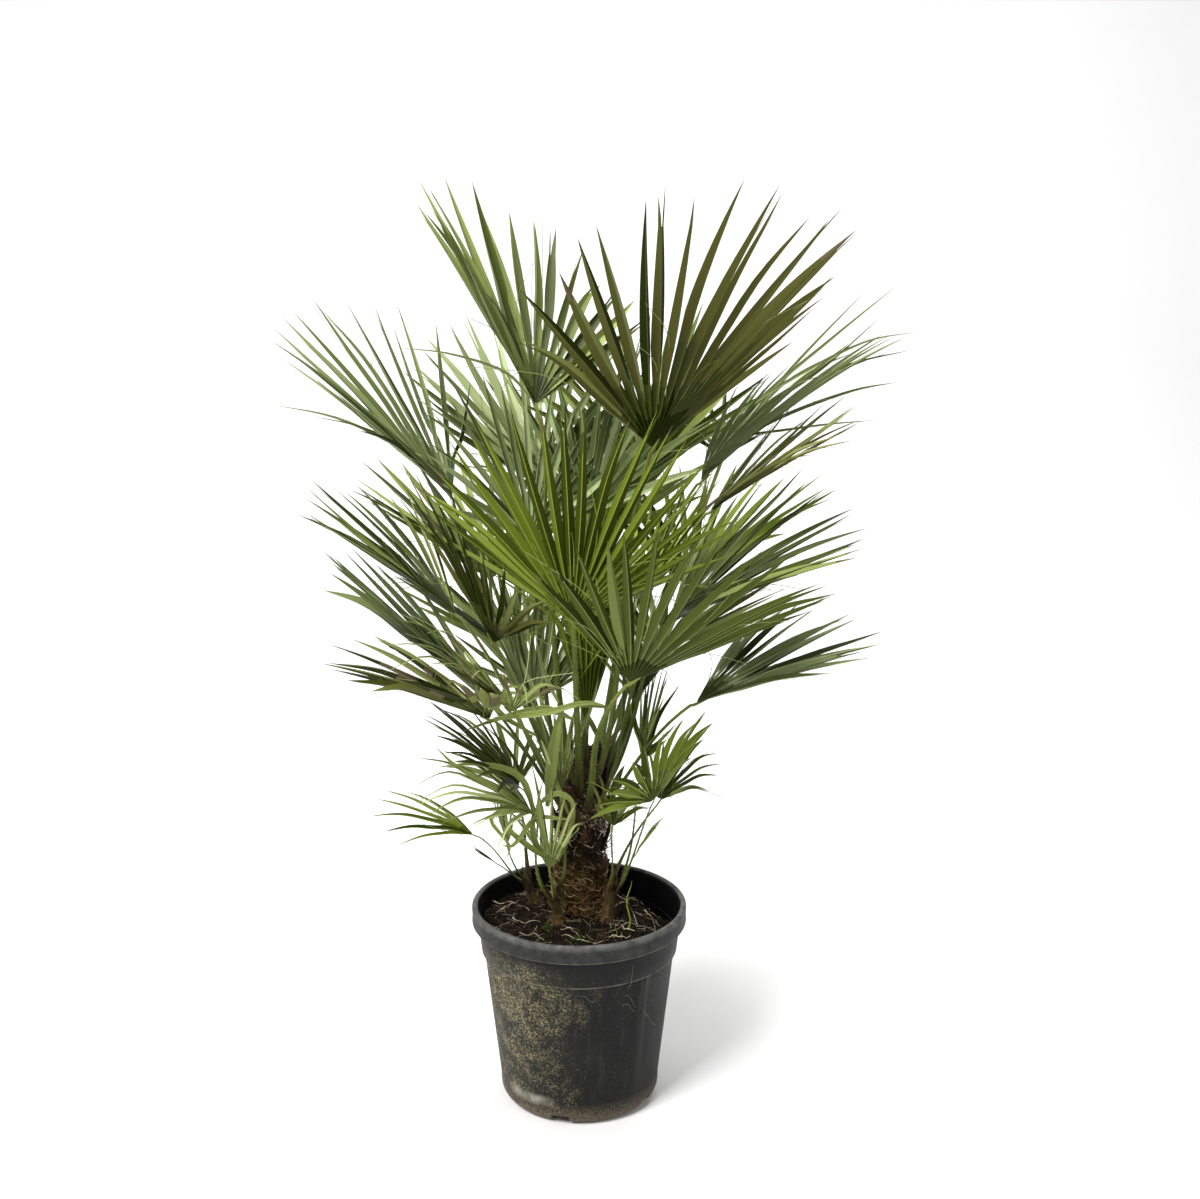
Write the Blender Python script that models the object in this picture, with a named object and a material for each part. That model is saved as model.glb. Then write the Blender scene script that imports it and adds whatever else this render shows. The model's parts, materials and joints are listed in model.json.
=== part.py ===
"""European fan palm in a round nursery pot.

Metres, +Z up. The origin is the middle of the pot's flat underside, and the plant's
front looks along -Y. The pot holds a plug of compost, the short fibrous trunk stands
on that plug with three suckers beside it, and each frond is a stalk that ends in a
flat fan, cut between its leaflets down to the fused palm of the hand.

A frond is placed by the middle of its fan, the way its fan points and the length of
its middle leaflets. One rule then seats its stalk on the trunk and turns, shortens
or leaves out each leaflet that would touch a stalk, a palm or another leaflet.
"""
import itertools
import math
import random
from collections import namedtuple

import bmesh
import bpy
from mathutils import Vector
from mathutils.bvhtree import BVHTree

SEED = 11
CLEARANCE = 0.0003

# Pot: a 38 cm nursery pot with a rolled rim, a collar, five drainage notches and a heel,
# the height under which its inner wall slopes in to the floor
POT_HEIGHT = 0.361
POT_RIM_RADIUS = 0.190
POT_MOUTH_RADIUS = 0.179
POT_BASE_RADIUS = 0.139
POT_RIM_BAND = 0.033
POT_COLLAR = 0.052
POT_COLLAR_STEP = 0.003
POT_MOUTH_ROUND = 0.0033
POT_FLARE = 0.114
POT_WALL = 0.005
POT_FLOOR = 0.012
POT_HEEL = 0.030
POT_FOOT_BEVEL = 0.024
POT_SIDES = 44
NOTCH_COUNT = 5
NOTCH_FIRST = -104.0
NOTCH_WIDTH = 0.034
NOTCH_HEIGHT = 0.010
NOTCH_DEPTH = 0.018

# Compost: level round the stems, sunk beside the wall at the right rear
SOIL_TOP = 0.330
SOIL_LEVEL_RADIUS = 0.135
SOIL_EDGE_DROP = 0.006
SOIL_HOLLOW_DROP = 0.034
SOIL_HOLLOW_BEARING = 28.0
SOIL_HOLLOW_WIDTH = 38.0
SOIL_SIDES = 32

# Trunk: height above the compost and radius, from the flat cut to the growing tip
TRUNK_FOOT = (0.0, 0.055)
TRUNK_LEAN = 0.02
TRUNK_SIDES = 18
TRUNK_RINGS = (
    (0.000, 0.051), (0.014, 0.046), (0.050, 0.0425), (0.100, 0.0400), (0.150, 0.0380),
    (0.205, 0.0365), (0.245, 0.0340), (0.272, 0.0290), (0.290, 0.0210), (0.300, 0.0110),
)
TRUNK_SEAT_HEIGHT = 0.180

# Suckers: foot on the compost, top, and the radius at each
Sucker = namedtuple("Sucker", "name foot top foot_radius top_radius")
SUCKERS = (
    Sucker("sucker_left", (-0.078, 0.060), (-0.102, 0.052, 0.400), 0.0100, 0.0070),
    Sucker("sucker_front", (-0.036, -0.022), (-0.043, -0.030, 0.405), 0.0110, 0.0085),
    Sucker("sucker_right", (0.048, -0.012), (0.058, -0.004, 0.410), 0.0130, 0.0100),
)
SUCKER_SIDES = 10
SUCKER_SEAT_SHARE = 0.55
# Rounded top of a sucker: depth under the top and radius, in shares of the top radius
SUCKER_SHOULDER = ((0.60, 1.00), (0.21, 0.80), (0.00, 0.42))

# Fronds: fan middle, heading and rise of the fan's axis in degrees, how far its upper
# side is turned to the front, length, spread in degrees, leaflets, cup and droop
Frond = namedtuple("Frond", "name hub heading rise turn reach spread leaflets cup droop tint")
OLD, MID, BRIGHT, GREY, PALE = "old", "mid", "bright", "grey", "pale"
TRUNK_FRONDS = (
    Frond("left_low_front", (-0.145, -0.12, 0.735), -142, 27, 0.05, 0.32, 105, 14, 0.8, 0.03, OLD),
    Frond("front_left_low", (-0.105, -0.18, 0.765), -130, 40, 0.2, 0.30, 125, 13, 0.8, 0.04, PALE),
    Frond("right_low", (0.200, -0.03, 0.735), 6, 22, 0.15, 0.35, 80, 16, 0.9, 0.01, GREY),
    Frond("rear_low_left", (-0.13, 0.30, 0.735), 114, 24, 0.0, 0.34, 145, 16, 0.7, 0.05, MID),
    Frond("rear_low_right", (0.15, 0.29, 0.735), 68, 22, 0.0, 0.34, 145, 16, 0.7, 0.05, OLD),
    Frond("left_lower", (-0.155, -0.01, 0.730), -170, 45, 0.05, 0.39, 78, 14, 0.6, 0.01, GREY),
    Frond("right_front", (0.085, -0.22, 0.825), -20, 36, -0.4, 0.38, 170, 21, 0.65, 0.03, MID),
    Frond("right_middle", (0.155, -0.02, 0.875), -14, 29, 0.2, 0.39, 120, 19, 0.8, 0.03, MID),
    Frond("left_outer", (-0.215, 0.08, 0.865), 172, 39, 0.1, 0.36, 80, 16, 0.9, 0.02, MID),
    Frond("rear_left", (-0.17, 0.30, 0.880), 120, 34, 0.0, 0.38, 150, 18, 0.8, 0.03, MID),
    Frond("rear_right", (0.20, 0.28, 0.870), 52, 32, 0.0, 0.38, 150, 18, 0.8, 0.03, BRIGHT),
    Frond("rear_middle", (0.01, 0.36, 0.930), 92, 36, 0.0, 0.40, 155, 18, 0.7, 0.03, MID),
    Frond("left_middle_front", (-0.135, -0.14, 0.870), -140, 60, 0.3, 0.33, 130, 17, 0.8, 0.01, OLD),
    Frond("rear_right_upper", (0.12, 0.29, 1.080), 66, 56, 0.0, 0.39, 150, 18, 0.8, 0.01, MID),
    Frond("rear_left_upper", (-0.08, 0.26, 1.070), 112, 56, 0.0, 0.38, 150, 18, 0.8, 0.01, GREY),
    Frond("right_upper", (0.220, -0.02, 1.065), -8, 35, 0.1, 0.31, 80, 14, 0.8, 0.01, OLD),
    Frond("right_inner", (0.105, 0.05, 0.900), -20, 55, 0.3, 0.27, 150, 15, 0.4, 0.02, BRIGHT),
    Frond("left_upper", (-0.220, 0.10, 1.070), -172, 49, 0.3, 0.43, 105, 18, 0.85, 0.00, GREY),
    Frond("centre_front", (-0.006, -0.17, 0.915), -96, 70, 0.0, 0.40, 148, 23, 0.5, 0.01, BRIGHT),
    Frond("right_rear_upper", (0.215, 0.15, 1.090), -5, 43, -0.1, 0.49, 110, 18, 0.7, 0.14, GREY),
    Frond("left_rear", (-0.085, 0.13, 0.990), 134, 69, 0.0, 0.32, 150, 16, 0.4, 0.01, GREY),
    Frond("right_upper_front", (0.122, -0.10, 1.180), -40, 58, -0.2, 0.50, 128, 21, 0.5, 0.00, OLD),
    Frond("right_rear_small", (0.263, 0.27, 1.120), 46, 70, 0.0, 0.17, 150, 11, 0.4, 0.02, OLD),
    Frond("left_top", (-0.072, 0.05, 1.235), 150, 63, -0.1, 0.42, 150, 21, 0.8, 0.00, MID),
    Frond("rear_upper", (0.015, 0.20, 1.020), 78, 74, 0.0, 0.36, 140, 17, 0.4, 0.00, GREY),
    Frond("inner_left", (-0.080, -0.02, 0.715), 170, 80, 0.3, 0.23, 80, 11, 0.4, 0.01, GREY),
    Frond("inner_rear", (-0.070, 0.16, 0.690), 100, 78, 0.0, 0.26, 130, 15, 0.4, 0.01, GREY),
    Frond("inner_right", (0.095, 0.10, 0.700), 30, 74, 0.0, 0.22, 110, 12, 0.4, 0.02, MID),
    Frond("young", (0.014, -0.010, 0.690), -75, 83, 0.0, 0.32, 34, 8, 0.1, 0.00, BRIGHT),
    Frond("spear", (0.012, 0.062, 0.700), 80, 86, 0.0, 0.36, 14, 4, 0.0, 0.00, BRIGHT),
)
SUCKER_FRONDS = {
    "sucker_left": (
        Frond("small_left", (-0.183, -0.02, 0.493), -171, 27, 0.2, 0.21, 75, 6, 0.2, 0.12, BRIGHT),
        Frond("bud_left", (-0.148, 0.03, 0.420), -166, 38, 0.0, 0.06, 40, 4, 0.1, 0.00, OLD),
        Frond("folded_left", (-0.128, 0.03, 0.455), -150, 82, 0.0, 0.12, 70, 7, 0.3, 0.00, MID),
        Frond("rear_sucker_left", (-0.12, 0.14, 0.520), 130, 45, 0.0, 0.20, 120, 9, 0.4, 0.08, MID),
    ),
    "sucker_front": (
        Frond("pale_left", (-0.078, -0.08, 0.556), -162, 32, 0.2, 0.26, 115, 11, 0.3, 0.12, PALE),
        Frond("pale_front", (-0.050, -0.062, 0.445), -112, 78, 0.0, 0.21, 66, 9, 0.2, 0.02, PALE),
        Frond("dark_left", (-0.100, -0.04, 0.588), -158, 46, 0.2, 0.25, 125, 14, 0.3, 0.06, OLD),
        Frond("pale_middle", (-0.030, -0.055, 0.585), -60, 86, 0.2, 0.19, 60, 7, 0.2, 0.02, PALE),
    ),
    "sucker_right": (
        Frond("sucker_fan", (0.127, -0.08, 0.577), -34, 67, 0.0, 0.21, 190, 17, 0.3, 0.03, BRIGHT),
        Frond("sucker_fan_rear", (0.112, 0.04, 0.606), 4, 78, 0.0, 0.20, 120, 13, 0.3, 0.03, MID),
        Frond("small_right", (0.099, -0.04, 0.466), -16, 58, 0.0, 0.09, 70, 5, 0.2, 0.00, BRIGHT),
        Frond("curled_right", (0.058, -0.022, 0.509), 40, 86, 0.3, 0.14, 110, 7, 0.2, 0.06, OLD),
        Frond("low_right", (0.145, 0.08, 0.520), 40, 48, 0.0, 0.17, 130, 9, 0.4, 0.08, MID),
    ),
}

# Fan: shares of the frond's reach, then the leaflets' scatter
PALM_SHARE = 0.21
PALM_EDGE_SHARE = 0.13
CUP_POWER = 1.4
BELLY_SHARE = 0.46
BELLY_WIDTH = 0.050
# Widest leaflet, as a share of the way to the next rib
BELLY_FILL = 0.86
# A leaflet that droops by more than this share has a second pair of edge points
ARCHED_DROOP = 0.06
ARCHED_SHARES = (0.39, 0.75)
ARCHED_TAPER = 0.72
SIDE_LEAFLET_SHARE = 0.72
THICKNESS_SHARE = 0.0115
LENGTH_SCATTER = 0.07
ANGLE_SCATTER = 0.05
LIFT_SCATTER = 0.03
HUB_SETBACK = 0.010

# Stalks: sizes of a main frond's stalk, and the share of them that a sucker's has
STALK_WIDTH_FOOT = 0.0125
STALK_WIDTH_HUB = 0.008
STALK_DEPTH_FOOT = 0.0085
STALK_DEPTH_HUB = 0.0055
SUCKER_STALK = 0.48
STALK_STEPS = 6
STALK_PULL = 0.36
STALK_HOLLOW_LEAN = 0.8
SEAT_GRIP = 0.55
SEAT_GRIP_GAIN = 1.4
SEAT_GAP = 0.0004
SEAT_RAY_START = 0.3
# Angles above the level of the first and the last seat on the trunk and on a sucker
TRUNK_SEATS = (2.0, 76.0)
SUCKER_SEATS = (15.0, 70.0)

# Ways round a neighbour, tried in order: a stalk's swerve in metres and shift of its
# seat in degrees, then a leaflet's lift and its share of the full length
SWERVES = (0.0, 0.012, -0.012, 0.024, -0.024, 0.036, -0.036, 0.05, -0.05)
SEAT_SHIFTS = (0.0, 10.0, -10.0, 20.0, -20.0, 30.0, -30.0)
LIFTS = (0.0, 0.07, -0.07, 0.14, -0.14, 0.21, -0.21)
LENGTHS = (1.0, 0.86, 0.72, 0.58)
MARGIN = 0.0009

COLOURS = {
    "pot": (0.030, 0.032, 0.034), "compost": (0.045, 0.030, 0.020), "trunk": (0.090, 0.060, 0.035),
    "sucker": (0.180, 0.110, 0.050), OLD: (0.075, 0.095, 0.030), MID: (0.105, 0.145, 0.038),
    BRIGHT: (0.140, 0.205, 0.030), GREY: (0.165, 0.200, 0.100), PALE: (0.200, 0.240, 0.105),
}
ROUGHNESS = {"pot": 0.55, "compost": 0.95, "trunk": 0.90, "sucker": 0.70}
LEAF_ROUGHNESS = 0.45


def clear_scene():
    for item in list(bpy.data.objects):
        bpy.data.objects.remove(item, do_unlink=True)


def material(name, finish):
    made = bpy.data.materials.new(name)
    made.use_nodes = True
    shader = made.node_tree.nodes["Principled BSDF"]
    shader.inputs["Base Color"].default_value = (*COLOURS[finish], 1.0)
    shader.inputs["Roughness"].default_value = ROUGHNESS.get(finish, LEAF_ROUGHNESS)
    return made


def add_object(name, bm, finish, smooth=False):
    mesh = bpy.data.meshes.new(name)
    bmesh.ops.recalc_face_normals(bm, faces=bm.faces[:])
    bm.to_mesh(mesh)
    bm.free()
    if smooth:
        mesh.shade_smooth()
        mesh.set_sharp_from_angle(angle=math.radians(35.0))
    mesh.materials.append(material(name, finish))
    item = bpy.data.objects.new(name, mesh)
    bpy.context.collection.objects.link(item)
    return item


def turned(profile, sides):
    """A solid of revolution about Z: profile runs from axis to axis as (radius, height)."""
    bm = bmesh.new()
    points = [bm.verts.new((radius, 0.0, height)) for radius, height in profile]
    edges = [bm.edges.new(pair) for pair in zip(points, points[1:])]
    bmesh.ops.spin(bm, geom=points + edges, cent=(0, 0, 0), axis=(0, 0, 1),
                   angle=math.tau, steps=sides, use_merge=True)
    bmesh.ops.remove_doubles(bm, verts=bm.verts[:], dist=1e-6)
    return bm


def pot_radius(height):
    """Outer radius of the pot's tapered body."""
    return POT_BASE_RADIUS + POT_FLARE * height


def pot_profile():
    rim_foot = POT_HEIGHT - POT_RIM_BAND
    collar_foot = rim_foot - POT_COLLAR
    lip = POT_RIM_RADIUS - POT_MOUTH_RADIUS
    collar = pot_radius(collar_foot) + POT_COLLAR_STEP
    outer = [
        (0.0, 0.0), (POT_BASE_RADIUS - POT_FOOT_BEVEL, 0.0),
        (POT_BASE_RADIUS - 0.32 * POT_FOOT_BEVEL, 0.30 * POT_FOOT_BEVEL),
        (pot_radius(POT_FOOT_BEVEL), POT_FOOT_BEVEL),
        (pot_radius(collar_foot), collar_foot),
        (collar, collar_foot + POT_COLLAR_STEP),
        (collar + POT_FLARE * POT_COLLAR, rim_foot),
        (POT_RIM_RADIUS, rim_foot + 0.25 * POT_RIM_BAND),
        (POT_RIM_RADIUS, POT_HEIGHT - 0.45 * lip),
        (POT_RIM_RADIUS - 0.35 * lip, POT_HEIGHT),
        (POT_MOUTH_RADIUS + 0.2 * lip, POT_HEIGHT),
        (POT_MOUTH_RADIUS, POT_HEIGHT - POT_MOUTH_ROUND),
    ]
    inner = [(inner_radius(height), height) for height in (collar_foot, POT_HEEL, POT_FLOOR)]
    return outer + inner + [(0.0, POT_FLOOR)]


def inner_radius(height):
    """Inner radius of the pot's wall, which narrows below the mouth and at the heel."""
    collar_foot = POT_HEIGHT - POT_RIM_BAND - POT_COLLAR
    if height < POT_HEEL:
        share = (height - POT_FLOOR) / (POT_HEEL - POT_FLOOR)
        low = POT_BASE_RADIUS - POT_FOOT_BEVEL
        return low + share * (pot_radius(POT_HEEL) - POT_WALL - low)
    if height <= collar_foot:
        return pot_radius(height) - POT_WALL
    mouth = POT_HEIGHT - POT_MOUTH_ROUND
    share = (height - collar_foot) / (mouth - collar_foot)
    low = pot_radius(collar_foot) - POT_WALL
    return low + share * (POT_MOUTH_RADIUS - low)


def make_pot():
    pot = add_object("pot", turned(pot_profile(), POT_SIDES), "pot", smooth=True)
    bm = bmesh.new()
    for index in range(NOTCH_COUNT):
        bearing = math.radians(NOTCH_FIRST + index * 360.0 / NOTCH_COUNT)
        out = Vector((math.cos(bearing), math.sin(bearing), 0.0))
        across = Vector((-out.y, out.x, 0.0))
        box = bmesh.ops.create_cube(bm, size=1.0)["verts"]
        for vert in box:
            reach = POT_BASE_RADIUS + vert.co.x * 2.0 * NOTCH_DEPTH
            rise = vert.co.z * 2.0 * NOTCH_HEIGHT
            vert.co = out * reach + across * (vert.co.y * NOTCH_WIDTH) + Vector((0, 0, rise))
    cutter = add_object("notch_cutters", bm, "pot")
    cutter.hide_render = True
    cutter.display_type = "WIRE"
    notches = pot.modifiers.new("notches", "BOOLEAN")
    notches.operation = "DIFFERENCE"
    notches.object = cutter


def soil_height(bearing):
    """Height of the compost where it meets the wall, at a bearing in degrees."""
    away = (bearing - SOIL_HOLLOW_BEARING + 180.0) % 360.0 - 180.0
    hollow = math.exp(-(away / SOIL_HOLLOW_WIDTH) ** 2)
    return SOIL_TOP - SOIL_EDGE_DROP - SOIL_HOLLOW_DROP * hollow


def make_soil():
    bm = bmesh.new()
    floor = POT_FLOOR + CLEARANCE
    waist = POT_HEIGHT - POT_RIM_BAND - POT_COLLAR
    rings = []
    for kind in ("level", "edge", "waist", "heel", "foot"):
        ring = []
        for index in range(SOIL_SIDES):
            degrees = index * 360.0 / SOIL_SIDES
            heights = {"level": SOIL_TOP, "edge": soil_height(degrees), "waist": waist,
                       "heel": POT_HEEL, "foot": floor}
            height = heights[kind]
            radius = SOIL_LEVEL_RADIUS
            if kind != "level":
                radius = (inner_radius(height) - 2.0 * CLEARANCE) * math.cos(math.pi / POT_SIDES)
            angle = math.radians(degrees)
            ring.append(bm.verts.new((radius * math.cos(angle), radius * math.sin(angle), height)))
        rings.append(ring)
    for upper, lower in zip(rings, rings[1:]):
        for index in range(SOIL_SIDES):
            after = (index + 1) % SOIL_SIDES
            bm.faces.new((upper[index], lower[index], lower[after], upper[after]))
    bm.faces.new(rings[0])
    bm.faces.new(reversed(rings[-1]))
    add_object("compost", bm, "compost")


def stem_mesh(rings, sides):
    """A closed stem from (centre, radius) rings, with level ends."""
    bm = bmesh.new()
    made = []
    for centre, radius in rings:
        ring = []
        for index in range(sides):
            angle = math.tau * (index + 0.5) / sides
            ring.append(bm.verts.new(centre + radius * Vector((math.cos(angle), math.sin(angle), 0))))
        made.append(ring)
    for lower, upper in zip(made, made[1:]):
        for index in range(sides):
            after = (index + 1) % sides
            bm.faces.new((lower[index], lower[after], upper[after], upper[index]))
    bm.faces.new(reversed(made[0]))
    bm.faces.new(made[-1])
    bmesh.ops.triangulate(bm, faces=bm.faces[:])
    bmesh.ops.recalc_face_normals(bm, faces=bm.faces[:])
    return bm


def stem_surface(bm):
    """Surface of a stem as the rule for the fronds reads it."""
    bm.verts.index_update()
    return surface([vert.co.copy() for vert in bm.verts],
                   [[vert.index for vert in face.verts] for face in bm.faces])


def trunk_centre(above):
    """Trunk's axis at a height above the compost."""
    x, y = TRUNK_FOOT
    return Vector((x + TRUNK_LEAN * above, y, SOIL_TOP + CLEARANCE + above))


def trunk_rings():
    return [(trunk_centre(above), radius) for above, radius in TRUNK_RINGS]


def sucker_rings(sucker):
    """Tapered stem with a small round shoulder under its flat top."""
    foot = Vector((*sucker.foot, SOIL_TOP + CLEARANCE))
    top = Vector(sucker.top)
    down = (foot - top).normalized()
    rings = [(foot, sucker.foot_radius)]
    for depth, share in SUCKER_SHOULDER:
        rings.append((top + down * depth * sucker.top_radius, share * sucker.top_radius))
    return rings


def make_stems():
    """Trunk and suckers, with each one's surface and seat centre for the stalks."""
    stems = {}
    bm = stem_mesh(trunk_rings(), TRUNK_SIDES)
    stems["trunk"] = (stem_surface(bm), trunk_centre(TRUNK_SEAT_HEIGHT))
    add_object("trunk", bm, "trunk", smooth=True)
    for sucker in SUCKERS:
        bm = stem_mesh(sucker_rings(sucker), SUCKER_SIDES)
        foot = Vector((*sucker.foot, SOIL_TOP))
        stems[sucker.name] = (stem_surface(bm), foot.lerp(Vector(sucker.top), SUCKER_SEAT_SHARE))
        add_object(sucker.name, bm, "sucker", smooth=True)
    return stems


def fan_frame(frond):
    """Axis of the fan, the way across it and the way its upper side looks."""
    heading, rise = math.radians(frond.heading), math.radians(frond.rise)
    level = Vector((math.cos(heading), math.sin(heading), 0.0))
    axis = level * math.cos(rise) + Vector((0, 0, math.sin(rise)))
    inward = Vector((0, 0, math.cos(rise))) - level * math.sin(rise)
    looks = inward * (1.0 - abs(frond.turn)) + Vector((0.0, -1.0, 0.2)) * frond.turn
    normal = (looks - axis * looks.dot(axis)).normalized()
    return axis, normal.cross(axis), normal


def ray(frond, frame, angle, lift=0.0):
    """Unit direction of a rib at an angle from the axis; the fan's sides are cupped up."""
    axis, side, normal = frame
    share = min(1.0, abs(angle) / math.radians(90.0))
    out = axis * math.cos(angle) + side * math.sin(angle)
    return (out + normal * (frond.cup * share ** CUP_POWER + lift)).normalized()


def sheet_point(frond, frame, angle, radius, lift=0.0):
    """A point of the fan with half the blade's thickness as a vector."""
    axis, side, normal = frame
    out = ray(frond, frame, angle, lift)
    across = (side * math.cos(angle) - axis * math.sin(angle)).normalized()
    half = out.cross(across).normalized() * (0.5 * THICKNESS_SHARE * frond.reach)
    return Vector(frond.hub) + out * radius, half, across


def rib_angles(frond, rng):
    """Angles of the leaflets, with the notches halfway between them."""
    step = math.radians(frond.spread) / frond.leaflets
    ribs = []
    for index in range(frond.leaflets):
        middle = (index + 0.5 - 0.5 * frond.leaflets) * step
        ribs.append(middle + step * ANGLE_SCATTER * rng.uniform(-1.0, 1.0))
    notches = [ribs[0] - 0.5 * step]
    notches += [0.5 * (a + b) for a, b in zip(ribs, ribs[1:])]
    notches.append(ribs[-1] + 0.5 * step)
    return ribs, notches


def palm_points(frond, frame, notches):
    """Ends of the fused palm, which is shorter at the fan's two sides."""
    half_spread = math.radians(frond.spread) * 0.5
    points = []
    for angle in notches:
        share = min(1.0, abs(angle) / half_spread)
        radius = frond.reach * (PALM_SHARE + (PALM_EDGE_SHARE - PALM_SHARE) * share ** 2)
        points.append(sheet_point(frond, frame, angle, radius)[:2])
    return points


def leaflet_points(frond, frame, rib, ends, lift, length):
    """Belly edges and tip of one leaflet that grows from two notch points."""
    droop = Vector((0, 0, -frond.droop * length))
    step = math.radians(frond.spread) / frond.leaflets
    level = math.sqrt(1.0 - ray(frond, frame, rib, lift).dot(frame[2]) ** 2)
    points = []
    for share in belly_shares(frond):
        middle, half, across = sheet_point(frond, frame, rib, length * share, lift)
        width = BELLY_WIDTH * frond.reach * (1.0 if share <= BELLY_SHARE else ARCHED_TAPER)
        width = min(width, BELLY_FILL * step * length * share * level)
        sag = droop * share * share
        points.append((middle - across * 0.5 * width + sag, half))
        points.append((middle + across * 0.5 * width + sag, half))
    tip, half, across = sheet_point(frond, frame, rib, length, lift)
    points.append((tip + droop, half))
    return list(ends) + points


def belly_shares(frond):
    """Stations of a leaflet's edges: a leaflet that arches has one more."""
    return ARCHED_SHARES if frond.droop >= ARCHED_DROOP else (BELLY_SHARE,)


def leaflet_faces(count):
    """Triangles of a leaflet's sheet: pairs of edge points, then the tip."""
    faces = []
    for low in range(0, count - 3, 2):
        faces += [(low, low + 2, low + 3), (low, low + 3, low + 1)]
    return faces + [(count - 3, count - 1, count - 2)]


def thickened(points, faces, extra=0.0):
    """Closed body of a sheet: its upper and lower side and the wall round its edge."""
    verts = [point + half + half.normalized() * extra for point, half in points]
    verts += [point - half - half.normalized() * extra for point, half in points]
    below = len(points)
    polygons = list(faces)
    polygons += [tuple(below + index for index in reversed(face)) for face in faces]
    used = {(face[k - 1], face[k]) for face in faces for k in range(3)}
    for start, end in sorted(used):
        if (end, start) not in used:
            polygons += [(start, below + start, below + end), (start, below + end, end)]
    return verts, polygons


class Space:
    """Bodies that are already placed, each with its owner and its box."""

    def __init__(self):
        self.bodies = []

    def add(self, owner, verts, polygons):
        self.bodies.append((owner, *surface(verts, polygons)))

    def touches(self, own, verts, polygons):
        """Body that touches the given one, leaving out the bodies that are its own."""
        tree, low, high = surface(verts, polygons)
        for other, other_tree, other_low, other_high in self.bodies:
            if other in own:
                continue
            if any(low[k] > other_high[k] or high[k] < other_low[k] for k in range(3)):
                continue
            if tree.overlap(other_tree):
                return other
        return None


def surface(verts, polygons):
    low = [min(vert[k] for vert in verts) for k in range(3)]
    high = [max(vert[k] for vert in verts) for k in range(3)]
    return BVHTree.FromPolygons(verts, polygons), low, high


def bezier(points, t):
    a, b, c, d = points
    u = 1.0 - t
    place = a * u ** 3 + b * 3 * u * u * t + c * 3 * u * t * t + d * t ** 3
    slope = (b - a) * 3 * u * u + (c - b) * 6 * u * t + (d - c) * 3 * t * t
    return place, slope.normalized()


def seat_ray(centre, bearing, tilt):
    """Ray from outside towards a stem's seat centre, as its start and direction."""
    out = Vector((math.cos(bearing), math.sin(bearing), 0.0)) * math.cos(tilt)
    out += Vector((0, 0, math.sin(tilt)))
    return centre + out * SEAT_RAY_START, -out


def stalk_sections(frond, frame, stem, tilt, size, swerve, shift):
    """Sheet points of a stalk from its seat to the fan, two for each section."""
    (tree, _, _), centre = stem
    axis, side, normal = frame
    end = Vector(frond.hub) - axis * HUB_SETBACK
    bearing = math.atan2(end.y - centre.y, end.x - centre.x) + math.radians(shift)
    start, towards = seat_ray(centre, bearing, tilt)
    seat, facet, _, _ = tree.ray_cast(start, towards)
    if facet.dot(towards) > 0.0:
        facet = -facet
    plane = seat + facet * SEAT_GAP
    chord = end - plane
    leave = chord.normalized()
    short = max(0.0, SEAT_GRIP - leave.dot(facet))
    leave = (leave + facet * short * SEAT_GRIP_GAIN).normalized()
    arrive = (chord.normalized() + axis).normalized()
    aside = chord.cross(Vector((0, 0, 1)))
    aside = aside.normalized() * swerve if aside.length > 1e-6 else Vector((swerve, 0, 0))
    pull = chord.length * STALK_PULL
    path = (plane, plane + leave * pull + aside, end - arrive * pull + aside, end)
    inward = Vector((0, 0, 1)) - Vector((chord.x, chord.y, 0.0)).normalized() * STALK_HOLLOW_LEAN
    points = []
    for step in range(STALK_STEPS + 1):
        share = step / STALK_STEPS
        middle, along = bezier(path, share)
        looks = inward.normalized().lerp(normal, share ** 1.5)
        across = looks.cross(along).normalized()
        if step == STALK_STEPS:
            across = side
        through = along.cross(across).normalized()
        width = size * (STALK_WIDTH_FOOT + share * (STALK_WIDTH_HUB - STALK_WIDTH_FOOT))
        depth = size * (STALK_DEPTH_FOOT + share * (STALK_DEPTH_HUB - STALK_DEPTH_FOOT))
        for hand in (-0.5, 0.5):
            points.append((middle + across * hand * width, through * 0.5 * depth))
    return points, (plane, facet, bezier(path, 0.0)[1])


def seated_on(plane, facet, along, place):
    """Slides a corner of the foot along the stalk until it lies in the seat's plane."""
    return place + along * ((plane - place).dot(facet) / along.dot(facet))


def stalk_faces(count, hub, first, last):
    """Triangles of the stalk's sheet and of its joint with the hub and the palm's sides."""
    faces = []
    for low in range(0, count - 2, 2):
        faces += [(low, low + 2, low + 3), (low, low + 3, low + 1)]
    right, left = count - 2, count - 1
    return faces + [(right, first, hub), (hub, last, left), (right, hub, left)]


def seated(sheet, seat, extra=0.0):
    """Closed body of a sheet whose foot is cut parallel to the facet that it stands on."""
    points, faces = sheet
    verts, polygons = thickened(points, faces, extra)
    below = len(points)
    for index in (0, 1, below, below + 1):
        verts[index] = seated_on(*seat, verts[index])
    return verts, polygons


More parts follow.
